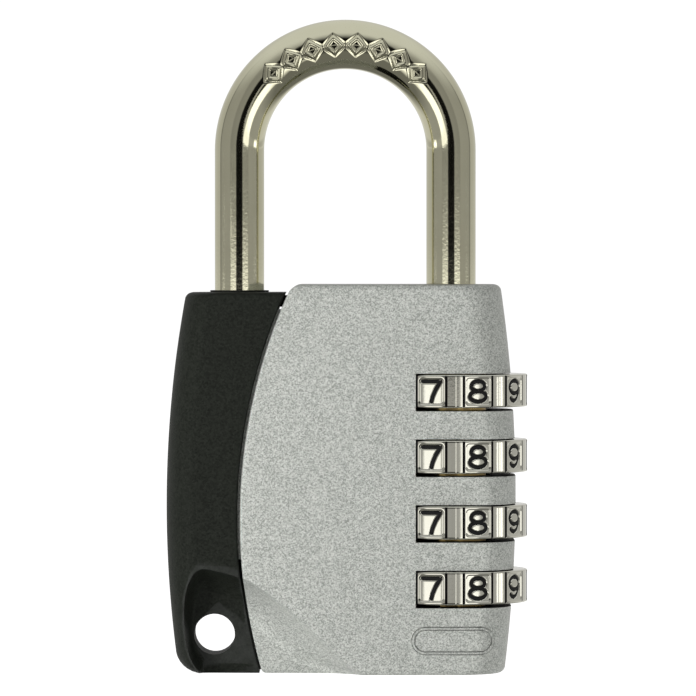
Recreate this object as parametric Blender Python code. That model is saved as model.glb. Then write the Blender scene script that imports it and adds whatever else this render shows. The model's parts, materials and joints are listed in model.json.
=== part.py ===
"""Four-dial combination padlock, built as the real lock is built.

Frame: metres, +Z up, -Y is the front face, origin under the middle of the lock on its bottom face.
The long shackle leg and the number wheels share one vertical axis on the right (+X) side.
"""
import math

import bmesh
import bpy

MM = 0.001

# ---- overall sizes ---------------------------------------------------------------------------
OVERALL_WIDTH = 47.4 * MM          # cover's left edge to the wheels' right edge
BODY_THICKNESS = 18.4 * MM         # front face to back face
COVER_STEP = 0.3 * MM              # how much the cover's faces lie below the housing's
ROD_DIAMETER = 6.5 * MM            # shackle rod
TOE_MARGIN = 9.53 * MM             # cover's left edge to the short leg's centre
SHACKLE_RISE = 34.77 * MM          # body top to the shackle's highest point
FIRST_WHEEL_Z = 11.35 * MM         # lowest wheel's middle above the bottom
TOP_MARGIN = 13.9 * MM             # highest wheel's middle to the body top

# ---- number wheels and code sleeves ------------------------------------------------------------
WHEEL_COUNT = 4
NUMBER_COUNT = 10
WHEEL_PITCH = 8.55 * MM
WHEEL_HEIGHT = 4.3 * MM
WHEEL_PROUD_FRONT = 0.85 * MM      # ribs beyond the front face
WHEEL_PROUD_SIDE = 1.6 * MM        # ribs beyond the body's right edge
PANEL_DEPTH = 0.12 * MM            # panel edges below the wheel's full radius
GROOVE_DEPTH = 0.7 * MM            # grooves beside the ribs
SLEEVE_WALL = 1.0 * MM
SHOULDER_HEIGHT = 2.85 * MM        # thick top part of a sleeve, which the lugs catch under
TOOTH_DEPTH = 0.6 * MM
TOOTH_HEIGHT = 1.4 * MM
RESET_TRAVEL = 1.6 * MM
LUG_WIDTH = 2.4 * MM

# ---- clearances --------------------------------------------------------------------------------
GAP = 0.3 * MM                     # between pieces that touch or run in each other
GAP_ABOVE_WHEEL = 0.15 * MM        # in the wheel's slot
GAP_BELOW_WHEEL = 0.45 * MM

# ---- body shape --------------------------------------------------------------------------------
LEFT_ARC_RADIUS = 150.0 * MM
LEFT_ARC_Z = 22.0 * MM
RIGHT_ARC_RADIUS = 185.0 * MM
RIGHT_ARC_Z = 23.5 * MM
SEAM_RADIUS = 73.0 * MM
SEAM_Z = 20.2 * MM
SEAM_GAP = 0.35 * MM
COVER_DROP = 1.05 * MM             # cover's top below the housing's top
EDGE_ROUND = 0.8 * MM
RIGHT_OVAL = 5.5 * MM              # depth of the right side's oval corners
RIGHT_FLAT = 2.7 * MM              # half width of the strip between them
LEFT_OVAL = 3.9 * MM
LEFT_FLAT = 2.9 * MM
TOP_CORNER = 1.2 * MM              # housing's corner at the top of the seam
CUT_PAST = 2.0 * MM                # how far a cutting shape runs past what it cuts
COVER_CORNER = 2.8 * MM            # cover's lower left corner
COVER_WALL = 1.7 * MM
COVER_TOP_WALL = 2.0 * MM
CAVITY_FLOOR = 14.7 * MM
TOE_WALL = 1.83 * MM               # tongue's wall left of the toe socket
TONGUE_ROOT = 12.0 * MM            # tongue's right end, inside the housing, from the wheels' axis

# ---- scoop and lanyard hole ----------------------------------------------------------------------
TAB_THICKNESS = 7.4 * MM
LANYARD_DIAMETER = 5.2 * MM
LANYARD_FROM_LEFT = 6.3 * MM
LANYARD_Z = 5.05 * MM
SCOOP_OUTLINE_MM = (               # distance from the left edge, height
    (26.7, -2.0), (23.2, 1.87), (20.8, 4.26), (18.1, 6.84), (15.3, 9.25),
    (12.5, 11.3), (10.3, 12.6), (7.0, 13.6), (4.6, 13.9), (3.2, 12.6),
    (2.4, 10.0), (2.3, 6.5), (2.8, 3.0), (4.2, 0.2), (6.2, -2.0),
)
SCOOP_CENTRE_DROP = 0.72 * MM      # scoop's deepest point below the lanyard hole's centre
SCOOP_START = 45.0                 # degrees of the dish's arc at its rim; 90 is its flat middle
SCOOP_DRAW_IN = 0.42               # how far the dish's middle is drawn in, all round
SCOOP_LEAN = 0.13                  # more of it towards the right, less towards the left

# ---- smaller pieces --------------------------------------------------------------------------------
SOCKET_DEPTH = 9.9 * MM            # toe socket below the body's top
TOE_REACH = 6.9 * MM               # toe's end below the body's top
SCREW_HEAD_RADIUS = 2.6 * MM
SCREW_HEAD_HEIGHT = 1.8 * MM
SCREW_RADIUS = 1.3 * MM
SCREW_SOCKET_RADIUS = 1.3 * MM
SCREW_SOCKET_DEPTH = 1.1 * MM
SHELF_THICKNESS = 6.0 * MM
SHELF_HALF_Y = 4.0 * MM
SHELF_REACH = 5.2 * MM             # shelf's free end right of the short leg's centre
SHELF_ROOT = 0.6 * MM              # how deep the shelf is rooted in the cover's wall
SHELF_ROOF = 2.2 * MM              # tongue between the socket floor and the cover's shelf
PLATE_THICKNESS = 2.4 * MM
PLATE_RECESS = 0.2 * MM
PLATE_CORNER = 1.5 * MM
PIN_RADIUS = 0.6 * MM
PIN_PLAY = 0.25 * MM
PIN_START = 5.5 * MM               # pin's left end right of the short leg's centre
PIN_REACH = 3.2 * MM               # pin's right end right of the wheels' axis
PIN_END_ROOM = 0.4 * MM
CLIP_THICKNESS = 0.6 * MM
CLIP_REST_Z = 3.25 * MM
CLIP_OPENING = 50.0                # half of the clip's mouth in degrees
WASHER_THICKNESS = 0.6 * MM
RESET_WIRE = 0.4 * MM
RESET_TURNS = 2.25
SPRING_BORE_RADIUS = 1.2 * MM
SPRING_BORE_ROOF = 9.0 * MM        # spring bore's end below the rod's end
LIFT_WIRE = 0.4 * MM
LIFT_TURNS = 10
ROD_BEVEL = 0.5 * MM
LEG_CHAMFER = 0.15 * MM
LEAF_THICKNESS = 0.3 * MM
LEAF_HALF_HEIGHT = 1.4 * MM
LEAF_FOOT = 1.7 * MM               # leaf's back right of the chamber's left wall
CHAMBER_DEPTH = 5.4 * MM
CARRIER_FLANGE = 2.4 * MM
CARRIER_SIDE = 0.6 * MM
CARRIER_BACK = 1.1 * MM
WHEEL_TOOTH_HALF = 5.0             # half angles in degrees
SLEEVE_TOOTH_HALF = 8.0
TOOTH_ROOT = 0.4 * MM              # how deep a sleeve's teeth are rooted in it

# ---- derived sizes ---------------------------------------------------------------------------------
BODY_HEIGHT = FIRST_WHEEL_Z + (WHEEL_COUNT - 1) * WHEEL_PITCH + TOP_MARGIN
COVER_TOP = BODY_HEIGHT - COVER_DROP
BODY_LEFT = -OVERALL_WIDTH / 2
BODY_RIGHT = OVERALL_WIDTH / 2 - WHEEL_PROUD_SIDE
WHEEL_RADIUS = BODY_THICKNESS / 2 + WHEEL_PROUD_FRONT
AXIS_X = OVERALL_WIDTH / 2 - WHEEL_RADIUS
TOE_X = BODY_LEFT + TOE_MARGIN
ROD_RADIUS = ROD_DIAMETER / 2
BOW_RADIUS = (AXIS_X - TOE_X) / 2
BOW_Z = BODY_HEIGHT + SHACKLE_RISE - ROD_RADIUS - BOW_RADIUS
CORE_RADIUS = ROD_RADIUS - 1.05 * MM
LUG_REACH = ROD_RADIUS - 0.25 * MM
LEG_BORE = ROD_RADIUS + GAP
SLEEVE_COUNTERBORE = ROD_RADIUS + 0.35 * MM
SLEEVE_RADIUS = SLEEVE_COUNTERBORE + SLEEVE_WALL
SLEEVE_HEIGHT = WHEEL_PITCH - GAP
WHEEL_TOOTH_RADIUS = SLEEVE_RADIUS + GAP
WHEEL_BORE = WHEEL_TOOTH_RADIUS + TOOTH_DEPTH
SLEEVE_TOOTH_RADIUS = WHEEL_BORE - GAP
CORE_BORE = WHEEL_BORE
SLOT_TOP = WHEEL_HEIGHT / 2 + GAP_ABOVE_WHEEL       # from the wheel's middle
SLOT_BOTTOM = WHEEL_HEIGHT / 2 + GAP_BELOW_WHEEL
LUG_GAP = SLEEVE_HEIGHT - SHOULDER_HEIGHT
LUG_HEIGHT = LUG_GAP + GAP - RESET_TRAVEL - 2 * GAP
STACK_TOP = FIRST_WHEEL_Z + (WHEEL_COUNT - 1) * WHEEL_PITCH + SLEEVE_HEIGHT / 2
STACK_BOTTOM = FIRST_WHEEL_Z - SLEEVE_HEIGHT / 2
ROD_END_Z = STACK_TOP + GAP
LEG_END_Z = PLATE_RECESS + PLATE_THICKNESS + GAP
PLATE_TOP = PLATE_RECESS + PLATE_THICKNESS
SOCKET_FLOOR = BODY_HEIGHT - SOCKET_DEPTH
SHELF_TOP = SOCKET_FLOOR - SHELF_ROOF
CHAMBER_RIGHT = AXIS_X - WHEEL_RADIUS + 0.4 * MM
CHAMBER_LEFT = CHAMBER_RIGHT - CHAMBER_DEPTH
CHAMBER_HALF_Y = 3.6 * MM
CHAMBER_TOP = STACK_TOP - 0.8 * MM
PIN_Z = PLATE_RECESS + PLATE_THICKNESS / 2

ROUND_STEPS = 36


# ==== mesh helpers ==================================================================================
def make_material(name, color, metallic, roughness):
    material = bpy.data.materials.new(name)
    material.use_nodes = True
    shader = material.node_tree.nodes["Principled BSDF"]
    shader.inputs["Base Color"].default_value = (*color, 1.0)
    shader.inputs["Metallic"].default_value = metallic
    shader.inputs["Roughness"].default_value = roughness
    material.diffuse_color = (*color, 1.0)
    return material


def solid(name, vertices, faces, location=(0.0, 0.0, 0.0), smooth=False):
    """One mesh object from vertices and faces, with its faces turned outward."""
    mesh = bpy.data.meshes.new(name)
    mesh.from_pydata(vertices, [], faces)
    work = bmesh.new()
    work.from_mesh(mesh)
    bmesh.ops.recalc_face_normals(work, faces=work.faces)
    work.to_mesh(mesh)
    work.free()
    if smooth:
        mesh.shade_smooth()
        mesh.set_sharp_from_angle(angle=math.radians(35))
    item = bpy.data.objects.new(name, mesh)
    item.location = location
    bpy.context.collection.objects.link(item)
    return item


def ring_solid(name, rings, closed=False, location=(0.0, 0.0, 0.0), smooth=False):
    """Bridges equal rings in order; the ends are capped, or joined to each other when closed."""
    count = len(rings[0])
    vertices = [point for ring in rings for point in ring]
    faces = []
    spans = len(rings) if closed else len(rings) - 1
    for row in range(spans):
        low = row * count
        high = ((row + 1) % len(rings)) * count
        for step in range(count):
            after = (step + 1) % count
            faces.append((low + step, low + after, high + after, high + step))
    if not closed:
        faces.append(tuple(range(count)))
        faces.append(tuple(range(len(vertices) - count, len(vertices))))
    return solid(name, vertices, faces, location, smooth)


def circle(radius, z, steps=ROUND_STEPS):
    turn = 2 * math.pi / steps
    return [(radius * math.cos(i * turn), radius * math.sin(i * turn), z) for i in range(steps)]


def turned(name, profile, location, steps=ROUND_STEPS, closed=False, smooth=True):
    """A turned solid from (radius, z) pairs, bottom to top."""
    rings = [circle(radius, z, steps) for radius, z in profile]
    return ring_solid(name, rings, closed, location, smooth)


def prism(name, outline, low, high, location=(0.0, 0.0, 0.0), smooth=False):
    """Extrudes an (x, y) outline from z low to z high."""
    rings = [[(x, y, z) for x, y in outline] for z in (low, high)]
    return ring_solid(name, rings, False, location, smooth)


def side_prism(name, outline, front, back):
    """Extrudes an (x, z) outline from y front to y back."""
    rings = [[(x, y, z) for x, z in outline] for y in (front, back)]
    return ring_solid(name, rings)


def block(name, low, high):
    outline = [(low[0], low[1]), (high[0], low[1]), (high[0], high[1]), (low[0], high[1])]
    return prism(name, outline, low[2], high[2])


def rod_along(name, axis, start, length, radius, location, steps=20):
    """A cylinder from start to start + length along X or Y, through its location."""
    ring = circle(radius, 0.0, steps)
    if axis == "X":
        rings = [[(at, a, b) for a, b, _ in ring] for at in (start, start + length)]
    else:
        rings = [[(a, at, b) for a, b, _ in ring] for at in (start, start + length)]
    return ring_solid(name, rings, False, location, True)


def combine(target, tool, operation):
    """Adds a Boolean modifier and turns the tool into a hidden guide."""
    step = target.modifiers.new(tool.name, "BOOLEAN")
    step.operation = operation
    step.solver = "EXACT"
    step.object = tool
    tool.hide_render = True
    tool.display_type = "WIRE"


def arc_points(centre_x, centre_y, radius_x, radius_y, start, end, steps):
    points = []
    for i in range(steps + 1):
        angle = math.radians(start + (end - start) * i / steps)
        points.append((centre_x + radius_x * math.cos(angle), centre_y + radius_y * math.sin(angle)))
    return points


def strip_outline(path, thickness):
    """The outline of a thin strip that follows an open (x, y) path."""
    outer = []
    inner = []
    for i, (x, y) in enumerate(path):
        before = path[max(i - 1, 0)]
        after = path[min(i + 1, len(path) - 1)]
        length = math.dist(before, after)
        normal_x = (after[1] - before[1]) / length
        normal_y = -(after[0] - before[0]) / length
        outer.append((x + normal_x * thickness / 2, y + normal_y * thickness / 2))
        inner.append((x - normal_x * thickness / 2, y - normal_y * thickness / 2))
    return outer + inner[::-1]


def coil(name, radius, wire, low, high, turns, location, steps_per_turn=12, sides=6):
    """A coil spring whose wire stays between z low and z high."""
    rings = []
    total = int(turns * steps_per_turn)
    rise = high - low - wire
    for i in range(total + 1):
        angle = 2 * math.pi * i / steps_per_turn
        middle_z = low + wire / 2 + rise * i / total
        ring = []
        for j in range(sides):
            around = 2 * math.pi * j / sides
            reach = radius + wire / 2 * math.cos(around)
            z = middle_z + wire / 2 * math.sin(around)
            ring.append((reach * math.cos(angle), reach * math.sin(angle), z))
        rings.append(ring)
    return ring_solid(name, rings, False, location, True)


# ==== outer shape shared by housing and cover ========================================================
def rounding(z, low, high, low_radius, high_radius):
    """How far a rounded edge draws a side in at height z."""
    if z < low + low_radius:
        return low_radius - math.sqrt(max(0.0, low_radius ** 2 - (low + low_radius - z) ** 2))
    if z > high - high_radius:
        return high_radius - math.sqrt(max(0.0, high_radius ** 2 - (z - high + high_radius) ** 2))
    return 0.0


def left_edge(z):
    return BODY_LEFT + (z - LEFT_ARC_Z) ** 2 / (2 * LEFT_ARC_RADIUS)


def right_edge(z):
    return BODY_RIGHT - (z - RIGHT_ARC_Z) ** 2 / (2 * RIGHT_ARC_RADIUS)


def body_outline(left, right, half):
    """One level of the body: flat faces, an oval right side and a softer left side."""
    right_x = RIGHT_OVAL
    right_y = half - RIGHT_FLAT
    left_x = LEFT_OVAL
    left_y = half - LEFT_FLAT
    points = arc_points(right - right_x, right_y - half, right_x, right_y, -90, 0, 6)
    points += arc_points(right - right_x, half - right_y, right_x, right_y, 0, 90, 6)
    points += arc_points(left + left_x, half - left_y, left_x, left_y, 90, 180, 6)
    points += arc_points(left + left_x, left_y - half, left_x, left_y, 180, 270, 6)
    return points


def body_levels(top, corner):
    """Heights of the body's levels: close together in the rounded edges, even between them."""
    bottom_part = [corner * (1 - math.cos(math.radians(angle))) for angle in (0, 25, 50, 70)]
    top_part = [top - EDGE_ROUND * (1 - math.cos(math.radians(angle))) for angle in (70, 50, 25, 0)]
    spans = 9
    middle = [corner + (top - EDGE_ROUND - corner) * i / spans for i in range(spans + 1)]
    return bottom_part + middle + top_part


def outer_shell(name, half, top, corner):
    rings = []
    for z in body_levels(top, corner):
        edge = rounding(z, 0.0, top, EDGE_ROUND, EDGE_ROUND)
        left = left_edge(z) + rounding(z, 0.0, top, corner, EDGE_ROUND)
        right = right_edge(z) - edge
        rings.append([(x, y, z) for x, y in body_outline(left, right, half - edge)])
    return ring_solid(name, rings)


def seam_arc(offset, low, high, steps=24):
    """Points of the seam between housing and cover, bottom to top."""
    centre_x = TOE_X + SEAM_RADIUS
    radius = SEAM_RADIUS + offset
    points = []
    for i in range(steps + 1):
        z = low + (high - low) * i / steps
        points.append((centre_x - math.sqrt(radius ** 2 - (z - SEAM_Z) ** 2), z))
    return points


def scoop_cutter(name, side):
    """The dished hollow round the lanyard hole; side is -1 at the front and 1 at the back."""
    outline = [(BODY_LEFT + x * MM, z * MM) for x, z in SCOOP_OUTLINE_MM]
    centre = (BODY_LEFT + LANYARD_FROM_LEFT, LANYARD_Z - SCOOP_CENTRE_DROP)
    surface = BODY_THICKNESS / 2
    depth = surface - TAB_THICKNESS / 2
    rings = [[(x, side * (surface + 1.0 * MM), z) for x, z in outline]]
    first = math.radians(SCOOP_START)
    for angle in (SCOOP_START, 52, 60, 69, 79, 90):
        turn = math.radians(angle)
        inward = 1 - math.cos(turn) / math.cos(first)
        y = side * (surface - depth * (math.sin(turn) - math.sin(first)) / (1 - math.sin(first)))
        ring = []
        for x, z in outline:
            away = math.dist((x, z), centre)
            shrink = SCOOP_DRAW_IN + SCOOP_LEAN * (x - centre[0]) / away
            scale = 1 - shrink * inward
            ring.append((centre[0] + (x - centre[0]) * scale, y, centre[1] + (z - centre[1]) * scale))
        rings.append(ring)
    return ring_solid(name, rings)


# ==== housing ========================================================================================
def wheel_bore_cutter():
    """The leg's bore, the sleeves' bore and the four wheel slots as one turned shape."""
    profile = [(CORE_BORE, PLATE_TOP - MM)]
    for i in range(WHEEL_COUNT):
        middle = FIRST_WHEEL_Z + i * WHEEL_PITCH
        slot = WHEEL_RADIUS + GAP
        profile += [(CORE_BORE, middle - SLOT_BOTTOM), (slot, middle - SLOT_BOTTOM)]
        profile += [(slot, middle + SLOT_TOP), (CORE_BORE, middle + SLOT_TOP)]
    profile += [(CORE_BORE, STACK_TOP + GAP), (LEG_BORE, STACK_TOP + GAP)]
    profile += [(LEG_BORE, BODY_HEIGHT + CUT_PAST)]
    return turned("cut_wheel_bore", profile, (AXIS_X, 0.0, 0.0))


def plate_outline(margin):
    """The base plate: round under the bore, with a narrower tail under the spring chamber."""
    radius = CORE_BORE + 0.1 * MM + margin
    left = CHAMBER_LEFT - 0.3 * MM - margin
    tail = CHAMBER_HALF_Y + 0.4 * MM + margin
    points = arc_points(AXIS_X, 0.0, radius, radius, -130, 130, 20)
    corner = PLATE_CORNER
    points += arc_points(left + corner, tail - corner, corner, corner, 90, 180, 3)
    points += arc_points(left + corner, corner - tail, corner, corner, 180, 270, 3)
    return points


def make_housing(material):
    half = BODY_THICKNESS / 2
    housing = outer_shell("body_housing", half, BODY_HEIGHT, EDGE_ROUND)
    seam = seam_arc(-SEAM_GAP / 2, -0.2 * MM, BODY_HEIGHT - TOP_CORNER)
    top_left = seam[-1][0]
    past = BODY_RIGHT + 5 * MM
    profile = [(past, -CUT_PAST), (seam[0][0] + 0.5 * MM, -CUT_PAST)]
    profile += seam
    profile += [(top_left + 0.95 * MM, BODY_HEIGHT - 0.3 * MM)]
    profile += [(top_left + 1.7 * MM, BODY_HEIGHT + 0.05 * MM)]
    profile += [(top_left + 2.2 * MM, BODY_HEIGHT + 3 * MM), (past, BODY_HEIGHT + 3 * MM)]
    keep = side_prism("keep_housing_side", profile, -half - 3 * MM, half + 3 * MM)
    combine(housing, keep, "INTERSECT")

    tongue_half = half - COVER_STEP - COVER_WALL - GAP
    tongue_left = TOE_X - LEG_BORE - TOE_WALL
    tongue_low = CAVITY_FLOOR + GAP
    tongue_high = COVER_TOP - COVER_TOP_WALL - GAP
    tongue = block("add_tongue", (tongue_left, -tongue_half, tongue_low),
                   (AXIS_X - TONGUE_ROOT, tongue_half, tongue_high))
    combine(housing, tongue, "UNION")

    combine(housing, wheel_bore_cutter(), "DIFFERENCE")
    chamber = block("cut_spring_chamber", (CHAMBER_LEFT, -CHAMBER_HALF_Y, PLATE_TOP - MM),
                    (CHAMBER_RIGHT, CHAMBER_HALF_Y, CHAMBER_TOP))
    combine(housing, chamber, "DIFFERENCE")
    recess = prism("cut_plate_recess", plate_outline(GAP), -CUT_PAST, PLATE_TOP + GAP)
    combine(housing, recess, "DIFFERENCE")
    bore_start = TOE_X - CUT_PAST
    bore_length = AXIS_X + PIN_REACH + PIN_END_ROOM - bore_start
    pin_bore = rod_along("cut_pin_bore", "X", bore_start, bore_length, PIN_RADIUS + PIN_PLAY,
                         (0.0, 0.0, PIN_Z), 14)
    combine(housing, pin_bore, "DIFFERENCE")
    socket = turned("cut_toe_socket", [(LEG_BORE, SOCKET_FLOOR), (LEG_BORE, BODY_HEIGHT + CUT_PAST)],
                    (TOE_X, 0.0, 0.0), 32)
    combine(housing, socket, "DIFFERENCE")
    shelf_low = SHELF_TOP - SHELF_THICKNESS - GAP
    shelf_room = SHELF_HALF_Y + GAP
    slot = block("cut_shelf_slot", (tongue_left - CUT_PAST, -shelf_room, shelf_low),
                 (TOE_X + SHELF_REACH + GAP, shelf_room, SHELF_TOP + GAP))
    combine(housing, slot, "DIFFERENCE")
    hole = SCREW_RADIUS + GAP
    screw_hole = turned("cut_screw_hole", [(hole, SHELF_TOP - MM), (hole, SOCKET_FLOOR + MM)],
                        (TOE_X, 0.0, 0.0), 20)
    combine(housing, screw_hole, "DIFFERENCE")
    for side, label in ((-1, "front"), (1, "back")):
        combine(housing, scoop_cutter("cut_housing_scoop_" + label, side), "DIFFERENCE")
    housing.data.materials.append(material)
    return housing


# ==== side cover =====================================================================================
def make_cover(material):
    half = BODY_THICKNESS / 2 - COVER_STEP
    cover = outer_shell("side_cover", half, COVER_TOP, COVER_CORNER)
    profile = seam_arc(SEAM_GAP / 2, -CUT_PAST, COVER_TOP + CUT_PAST)
    profile += [(BODY_LEFT - 5 * MM, COVER_TOP + CUT_PAST), (BODY_LEFT - 5 * MM, -CUT_PAST)]
    combine(cover, side_prism("keep_cover_side", profile, -half - 3 * MM, half + 3 * MM), "INTERSECT")
    cavity_left = TOE_X - LEG_BORE - TOE_WALL - GAP
    cavity_half = half - COVER_WALL
    cavity = block("cut_cover_cavity", (cavity_left, -cavity_half, CAVITY_FLOOR),
                   (AXIS_X, cavity_half, COVER_TOP - COVER_TOP_WALL))
    combine(cover, cavity, "DIFFERENCE")
    shelf_low = SHELF_TOP - SHELF_THICKNESS
    shelf = block("add_cover_shelf", (cavity_left - SHELF_ROOT, -SHELF_HALF_Y, shelf_low),
                  (TOE_X + SHELF_REACH, SHELF_HALF_Y, SHELF_TOP))
    combine(cover, shelf, "UNION")
    hole = SCREW_RADIUS + GAP
    screw_hole = turned("cut_shelf_hole", [(hole, shelf_low + MM), (hole, SHELF_TOP + MM)],
                        (TOE_X, 0.0, 0.0), 20)
    combine(cover, screw_hole, "DIFFERENCE")
    hole_low = COVER_TOP - COVER_TOP_WALL - MM
    toe_hole = turned("cut_toe_hole", [(LEG_BORE, hole_low), (LEG_BORE, COVER_TOP + MM)],
                      (TOE_X, 0.0, 0.0), 32)
    combine(cover, toe_hole, "DIFFERENCE")
    for side, label in ((-1, "front"), (1, "back")):
        combine(cover, scoop_cutter("cut_cover_scoop_" + label, side), "DIFFERENCE")
    lanyard = rod_along("cut_lanyard_hole", "Y", -half - CUT_PAST, 2 * (half + CUT_PAST),
                        LANYARD_DIAMETER / 2, (BODY_LEFT + LANYARD_FROM_LEFT, 0.0, LANYARD_Z), 32)
    combine(cover, lanyard, "DIFFERENCE")
    cover.data.materials.append(material)
    return cover


# ==== shackle and what rides on it ===================================================================
def shackle_ring(x, z, direction, radius, steps=20):
    """A circle across the rod; direction is the rod's outer side as an angle in the XZ plane."""
    ring = []
    for i in range(steps):
        turn = 2 * math.pi * i / steps
        reach = radius * math.cos(turn)
        point_x = x + reach * math.cos(direction)
        point_z = z + reach * math.sin(direction)
        ring.append((point_x, radius * math.sin(turn), point_z))
    return ring


def make_shackle(material):
    toe_end = BODY_HEIGHT - TOE_REACH
    bow_x = TOE_X + BOW_RADIUS - AXIS_X
    toe = TOE_X - AXIS_X
    groove_low = CLIP_REST_Z - 0.1 * MM
    groove_high = CLIP_REST_Z + CLIP_THICKNESS + 0.15 * MM
    groove_radius = CORE_RADIUS - 0.45 * MM
    rings = [shackle_ring(toe, toe_end, math.pi, ROD_RADIUS - ROD_BEVEL)]
    rings.append(shackle_ring(toe, toe_end + ROD_BEVEL, math.pi, ROD_RADIUS))
    bow_steps = 18
    for i in range(bow_steps + 1):
        direction = math.pi * (1 - i / bow_steps)
        x = bow_x + BOW_RADIUS * math.cos(direction)
        z = BOW_Z + BOW_RADIUS * math.sin(direction)
        rings.append(shackle_ring(x, z, direction, ROD_RADIUS))
    leg = [
        (ROD_END_Z + ROD_BEVEL, ROD_RADIUS),
        (ROD_END_Z, ROD_RADIUS - ROD_BEVEL / 2),
        (ROD_END_Z, CORE_RADIUS),
        (groove_high, CORE_RADIUS),
        (groove_high, groove_radius),
        (groove_low, groove_radius),
        (groove_low, CORE_RADIUS),
        (LEG_END_Z, CORE_RADIUS - LEG_CHAMFER),
        (LEG_END_Z, SPRING_BORE_RADIUS),
        (ROD_END_Z - SPRING_BORE_ROOF, SPRING_BORE_RADIUS),
    ]
    for z, radius in leg:
        rings.append(shackle_ring(0.0, z, 0.0, radius))
    shackle = ring_solid("shackle", rings, False, (AXIS_X, 0.0, 0.0), True)
    for i in range(WHEEL_COUNT):
        bottom = FIRST_WHEEL_Z + i * WHEEL_PITCH - SLEEVE_HEIGHT / 2
        root = AXIS_X - CORE_RADIUS + 0.5 * MM
        lug = block("add_lug_%d" % (WHEEL_COUNT - i), (AXIS_X - LUG_REACH, -LUG_WIDTH / 2, bottom),
                    (root, LUG_WIDTH / 2, bottom + LUG_HEIGHT))
        combine(shackle, lug, "UNION")
    shackle.data.materials.append(material)
    return shackle


def make_clip(material):
    end = 360.0 - CLIP_OPENING
    outer = arc_points(0.0, 0.0, LUG_REACH, LUG_REACH, CLIP_OPENING, end, 20)
    inner_radius = CORE_RADIUS - 0.25 * MM
    inner = arc_points(0.0, 0.0, inner_radius, inner_radius, end, CLIP_OPENING, 16)
    clip = prism("retaining_clip", outer + inner, CLIP_REST_Z, CLIP_REST_Z + CLIP_THICKNESS,
                 (AXIS_X, 0.0, 0.0))
    clip.data.materials.append(material)
    return clip


# ==== wheels, sleeves and click springs ==============================================================
def wheel_outline():
    """Outside of a number wheel: ten ribs with a groove on each side and ten number panels."""
    step = 360.0 / NUMBER_COUNT
    shape = (
        (0.0, 0.0),
        (3.0, 2 * PANEL_DEPTH),
        (4.5, GROOVE_DEPTH),
        (6.0, PANEL_DEPTH),
        (step / 2, 0.0),
        (step - 6.0, PANEL_DEPTH),
        (step - 4.5, GROOVE_DEPTH),
        (step - 3.0, 2 * PANEL_DEPTH),
    )
    points = []
    for i in range(NUMBER_COUNT):
        for angle, depth in shape:
            turn = math.radians((i + 0.5) * step + angle)
            reach = WHEEL_RADIUS - depth
            points.append((reach * math.cos(turn), reach * math.sin(turn)))
    return points


def toothed_outline(low_radius, high_radius, half_width, phase):
    """A round outline with ten square teeth; half_width and phase are in degrees."""
    step = 360.0 / NUMBER_COUNT
    points = []
    for i in range(NUMBER_COUNT):
        middle = phase + i * step
        edges = ((-half_width, low_radius), (-half_width, high_radius), (half_width, high_radius),
                 (half_width, low_radius), (step / 2, low_radius))
        for angle, radius in edges:
            turn = math.radians(middle + angle)
            points.append((radius * math.cos(turn), radius * math.sin(turn)))
    return points


def make_wheel(number, z, material):
    name = "number_wheel_%d" % number
    half = WHEEL_HEIGHT / 2
    wheel = prism(name, wheel_outline(), -half, half, (AXIS_X, 0.0, z), True)
    teeth_low = half - TOOTH_HEIGHT
    bore = turned("cut_bore_%d" % number, [(WHEEL_BORE, -half - MM), (WHEEL_BORE, teeth_low)],
                  (AXIS_X, 0.0, z), ROUND_STEPS)
    combine(wheel, bore, "DIFFERENCE")
    gap_half = 180.0 / NUMBER_COUNT - WHEEL_TOOTH_HALF
    gaps = toothed_outline(WHEEL_TOOTH_RADIUS, WHEEL_BORE, gap_half, 0.0)
    splines = prism("cut_splines_%d" % number, gaps, teeth_low - 0.2 * MM, half + MM,
                    (AXIS_X, 0.0, z))
    combine(wheel, splines, "DIFFERENCE")
    wheel.data.materials.append(material)
    return wheel


def make_sleeve(number, z, material):
    name = "code_sleeve_%d" % number
    half = SLEEVE_HEIGHT / 2
    shoulder_low = half - SHOULDER_HEIGHT
    sleeve = turned(name, [(SLEEVE_RADIUS, -half), (SLEEVE_RADIUS, half)], (AXIS_X, 0.0, z))
    teeth_high = WHEEL_HEIGHT / 2
    teeth = toothed_outline(SLEEVE_RADIUS - TOOTH_ROOT, SLEEVE_TOOTH_RADIUS, SLEEVE_TOOTH_HALF, 0.0)
    splines = prism("add_splines_%d" % number, teeth, teeth_high - TOOTH_HEIGHT, teeth_high,
                    (AXIS_X, 0.0, z))
    combine(sleeve, splines, "UNION")
    wide = [(SLEEVE_COUNTERBORE, -half - MM), (SLEEVE_COUNTERBORE, shoulder_low)]
    counterbore = turned("cut_counterbore_%d" % number, wide, (AXIS_X, 0.0, z))
    combine(sleeve, counterbore, "DIFFERENCE")
    narrow = [(CORE_RADIUS + GAP, shoulder_low - MM), (CORE_RADIUS + GAP, half + MM)]
    through = turned("cut_leg_%d" % number, narrow, (AXIS_X, 0.0, z), 28)
    combine(sleeve, through, "DIFFERENCE")
    gate = block("cut_gate_%d" % number,
                 (AXIS_X - LUG_REACH - 0.4 * MM, -LUG_WIDTH / 2 - GAP, z + shoulder_low - MM),
                 (AXIS_X, LUG_WIDTH / 2 + GAP, z + half + MM))
    combine(sleeve, gate, "DIFFERENCE")
    sleeve.data.materials.append(material)
    return sleeve


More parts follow.
